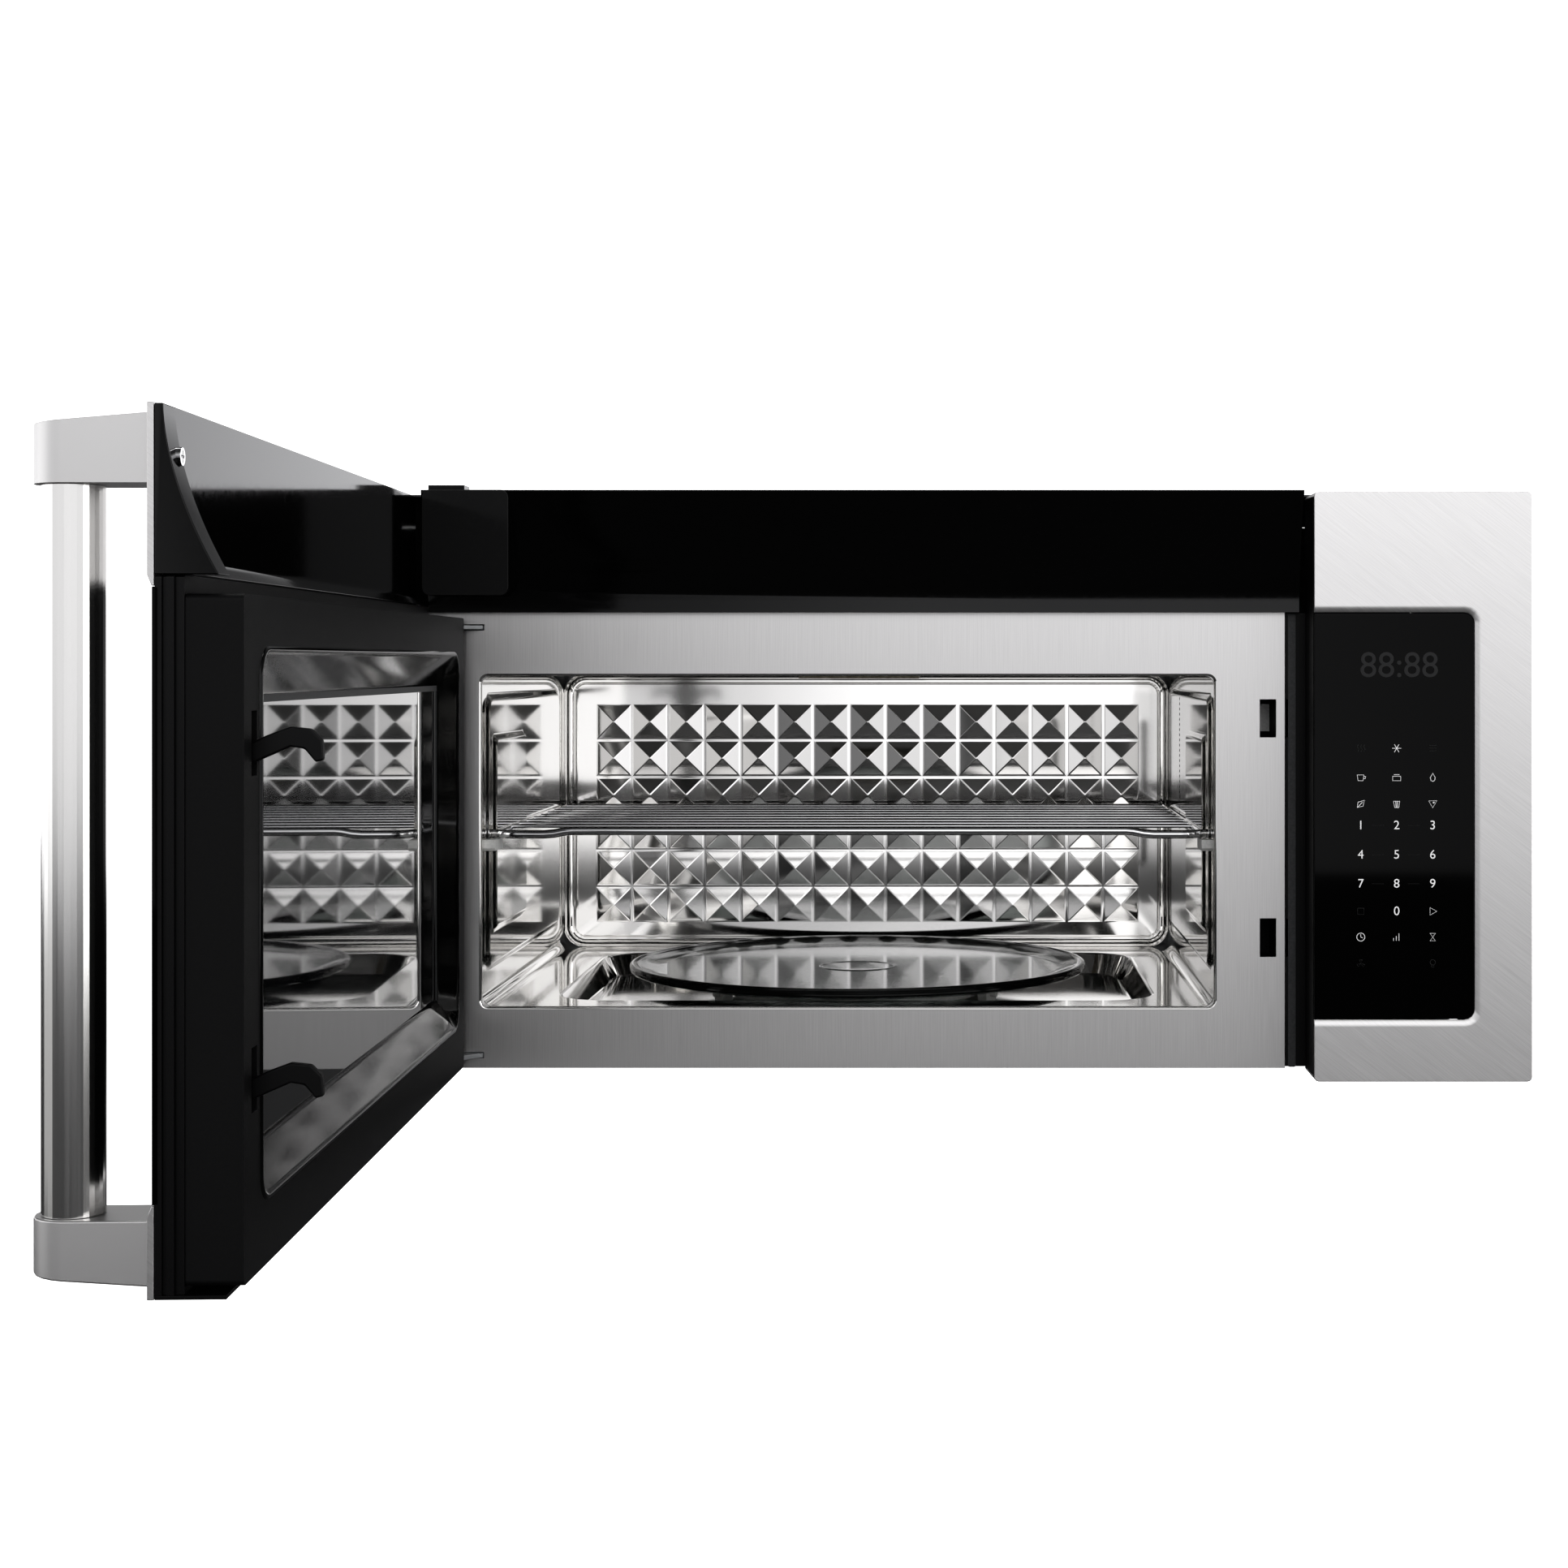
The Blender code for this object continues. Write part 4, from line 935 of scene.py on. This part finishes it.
foot = quarter((-34.0, SHOULDER + FOOT_RADIUS), FOOT_RADIUS, 270, 6, 90)
section = [(SKIN_BACK, SHOULDER)] + foot + [(-35.0, SHOULDER + 5.5), (TRIM_FACE, SHOULDER + 9)]
section += [(TRIM_FACE, TRIM_TOP), (SKIN_BACK, TRIM_TOP)]
face = plate("face", "X", 0.8, DOOR_END - RIB_WIDTH + 0.5, section)
softened(face, 0.4, 3, 50)
wear(opened(face), "door", gloss_black, "gloss_black", "door_upper_trim")

SCREW = (597, 371)
HEAD_CENTRE, HEAD_TOP = -32.6, -31.1
bpy.ops.mesh.primitive_cylinder_add(
    vertices=40,
    radius=4.2 * MM,
    depth=2 * (HEAD_TOP - HEAD_CENTRE) * MM,
    location=place(SCREW[0], HEAD_CENTRE, SCREW[1]),
    rotation=(math.pi / 2, 0, 0),
)
screw = bpy.context.object
bpy.ops.object.transform_apply(location=True, rotation=True, scale=True)
for wide, tall in ((5.2, 1.1), (1.1, 5.2)):
    across = (SCREW[0] - wide / 2, SCREW[0] + wide / 2)
    upright = (SCREW[1] - tall / 2, SCREW[1] + tall / 2)
    carved(screw, block("slot", across, (HEAD_TOP - 0.8, HEAD_TOP + 3), upright))
softened(screw, 0.8, 4, 50)
wear(opened(screw), "door", chrome_wire, "polished_steel", "handle_screw")
print("door mouldings made")

# %% [markdown]
# ## Keypad marks
# The black glass is printed from behind. Digits are real text, and the other keys get plain
# signs of our own drawn with round-ended strokes, so nothing needs a word.

# %% Keypad marks
def ink(name, code, glow=0.0):
    """Printed ink, a little uneven; glow is how far the keypad lights it."""
    settings = {"Base Color": colour(code), "Roughness": 0.4}
    made, tree, shader = material(name, settings)
    shader.inputs["Emission Color"].default_value = colour("#D8D8D8")
    shader.inputs["Emission Strength"].default_value = glow
    unevenness = grain(tree, (0, 0, 0), (900, 900, 900))
    tree.links.new(spread(tree, unevenness.outputs["Fac"], 0.35, 0.45), shader.inputs["Roughness"])
    return made


white_ink = ink("white_print", "#E8E8E8", 0.35)
dim_ink = ink("smoke_print", "#1C1C1D")
ghost_ink = ink("unlit_display_print", "#0D0D0E")

GLASS_FACE = -41.0
INK_DEPTH = 0.06
KEY_COLUMNS = (645.3, 669.3, 693.4)
DIGIT_ROWS = (171.0, 151.4, 132.0, 113.6)


def lettering(name, words, x, z, size):
    """Flat text on the glass, centred on x and z."""
    bpy.ops.object.text_add(location=place(x, GLASS_FACE - 0.12, z), rotation=(math.pi / 2, 0, 0))
    text = bpy.context.object
    text.data.body = words
    text.data.size = size * MM
    text.data.extrude = INK_DEPTH * MM
    text.data.align_x = "CENTER"
    text.data.align_y = "CENTER"
    bpy.ops.object.convert(target="MESH")
    text = bpy.context.object
    bpy.ops.object.transform_apply(location=True, rotation=True, scale=True)
    text.name = name
    return text


def strokes(name, lines, x, z, size, thick):
    """Draws lines, given in a unit square, as round strokes on the glass."""
    curve = bpy.data.curves.new(name, "CURVE")
    curve.dimensions = "3D"
    curve.bevel_depth = thick * MM
    curve.bevel_resolution = 1
    curve.use_fill_caps = True
    for line in lines:
        closed = line[0] == line[-1]
        points = line[:-1] if closed else line
        run = curve.splines.new("POLY")
        run.points.add(len(points) - 1)
        run.use_cyclic_u = closed
        for point, (a, b) in zip(run.points, points):
            point.co = (*place(x + a * size, GLASS_FACE - 0.1, z + b * size), 1)
    made = bpy.data.objects.new(name, curve)
    bpy.context.scene.collection.objects.link(made)
    alone(made)
    bpy.ops.object.convert(target="MESH")
    return bpy.context.object


def ring(radius, steps=16, a=0.0, b=0.0):
    """A closed circle as points, its last the same as its first."""
    round_points = quarter((a, b), radius, 0, steps, 360)
    return round_points[:-1] + round_points[:1]


def blade(turn, spread_angle=0.35):
    """One blade of a fan: out from the hub, across the tip and back."""
    angles = (turn - spread_angle, turn + spread_angle)
    tip = [(0.45 * math.cos(t), 0.45 * math.sin(t)) for t in angles]
    return [(0, 0)] + tip + [(0, 0)]


def upright_line(a, low, high):
    """One straight stroke of a bar sign."""
    return [(a, low), (a, high)]


CUP = [(-0.4, 0.3), (-0.3, -0.35), (0.25, -0.35), (0.35, 0.3), (-0.4, 0.3)]
CUP_EAR = [(0.35, 0.15), (0.55, 0.1), (0.5, -0.12), (0.3, -0.12)]
POT = [(-0.45, 0.15), (-0.45, -0.35), (0.45, -0.35), (0.45, 0.15), (-0.45, 0.15)]
DROP = [(0, 0.48), (-0.28, 0), (-0.2, -0.33), (0, -0.42), (0.2, -0.33), (0.28, 0), (0, 0.48)]
LEAF = [(-0.4, -0.4), (-0.3, 0.2), (0.4, 0.4), (0.25, -0.25), (-0.4, -0.4)]
TUB = [(-0.35, 0.3), (-0.22, -0.42), (0.22, -0.42), (0.35, 0.3), (-0.35, 0.3)]
TUB_FOLDS = [[(-0.1, 0.3), (-0.06, -0.42)], [(0.1, 0.3), (0.06, -0.42)]]
SLICE = [(-0.45, 0.35), (0.45, 0.35), (0, -0.45), (-0.45, 0.35)]
HOURGLASS = [(-0.3, 0.42), (0.3, 0.42), (-0.3, -0.42), (0.3, -0.42), (-0.3, 0.42)]
SQUARE = [(-0.35, -0.35), (0.35, -0.35), (0.35, 0.35), (-0.35, 0.35), (-0.35, -0.35)]
WAVES = [
    [(a, -0.4), (a + 0.12, -0.1), (a - 0.04, 0.15), (a + 0.08, 0.42)] for a in (-0.35, 0.0, 0.35)
]
SIGNS = {
    "frost": [[(-0.5, 0), (0.5, 0)], [(-0.25, -0.43), (0.25, 0.43)], [(-0.25, 0.43), (0.25, -0.43)]],
    "heat": WAVES,
    "cup": [CUP, CUP_EAR],
    "pot": [POT, [(-0.3, 0.32), (0.3, 0.32)]],
    "drop": [DROP],
    "leaf": [LEAF, [(-0.4, -0.4), (0.2, 0.2)]],
    "tub": [TUB] + TUB_FOLDS,
    "slice": [SLICE, ring(0.07, 8, 0.1, 0.15)],
    "clock": [ring(0.45), [(0, 0.3), (0, 0), (0.22, -0.1)]],
    "level": [upright_line(a, -0.4, top) for a, top in ((-0.35, -0.1), (-0.05, 0.12), (0.25, 0.4))],
    "glass": [HOURGLASS],
    "stop": [SQUARE],
    "start": [[(-0.3, -0.42), (0.45, 0), (-0.3, 0.42), (-0.3, -0.42)]],
    "fan": [blade(turn) for turn in (1.57, 3.67, 5.76)],
    "bulb": [ring(0.3, 12, 0, 0.15), [(-0.13, -0.13), (-0.13, -0.4), (0.13, -0.4), (0.13, -0.13)]],
    "grill": [[(-0.4, b), (0.4, b)] for b in (0.3, 0.0, -0.3)],
}
KEYS = (
    (222.6, (("heat", dim_ink), ("frost", white_ink), ("grill", dim_ink))),
    (203.0, (("cup", white_ink), ("pot", white_ink), ("drop", white_ink))),
    (185.4, (("leaf", white_ink), ("tub", white_ink), ("slice", white_ink))),
    (113.6, (("stop", dim_ink), (None, None), ("start", white_ink))),
    (96.4, (("clock", white_ink), ("level", white_ink), ("glass", white_ink))),
    (78.6, (("fan", dim_ink), (None, None), ("bulb", dim_ink))),
)
for z, row in KEYS:
    for x, (sign, ink) in zip(KEY_COLUMNS, row):
        if sign:
            wear(strokes("key_" + sign, SIGNS[sign], x, z, 6.0, 0.24), "cabinet", ink, "black_glass")
digits = ("123", "456", "789", " 0 ")
for z, row in zip(DIGIT_ROWS, digits):
    for x, digit in zip(KEY_COLUMNS, row):
        if digit != " ":
            wear(lettering("key_" + digit, digit, x, z, 8.4), "cabinet", white_ink, "black_glass")
wear(lettering("display_segments", "88:88", 671, 277.5, 24), "cabinet", ghost_ink, "black_glass")
for z in DIGIT_ROWS[:3]:
    dashes = [[(a, 0), (a + 8, 0)] for a in (7.5, 31.5)]
    rule = strokes(f"key_rule_{z:.0f}", dashes, KEY_COLUMNS[0], z, 1.0, 0.12)
    wear(rule, "cabinet", dim_ink, "black_glass")
print("keypad marks made")
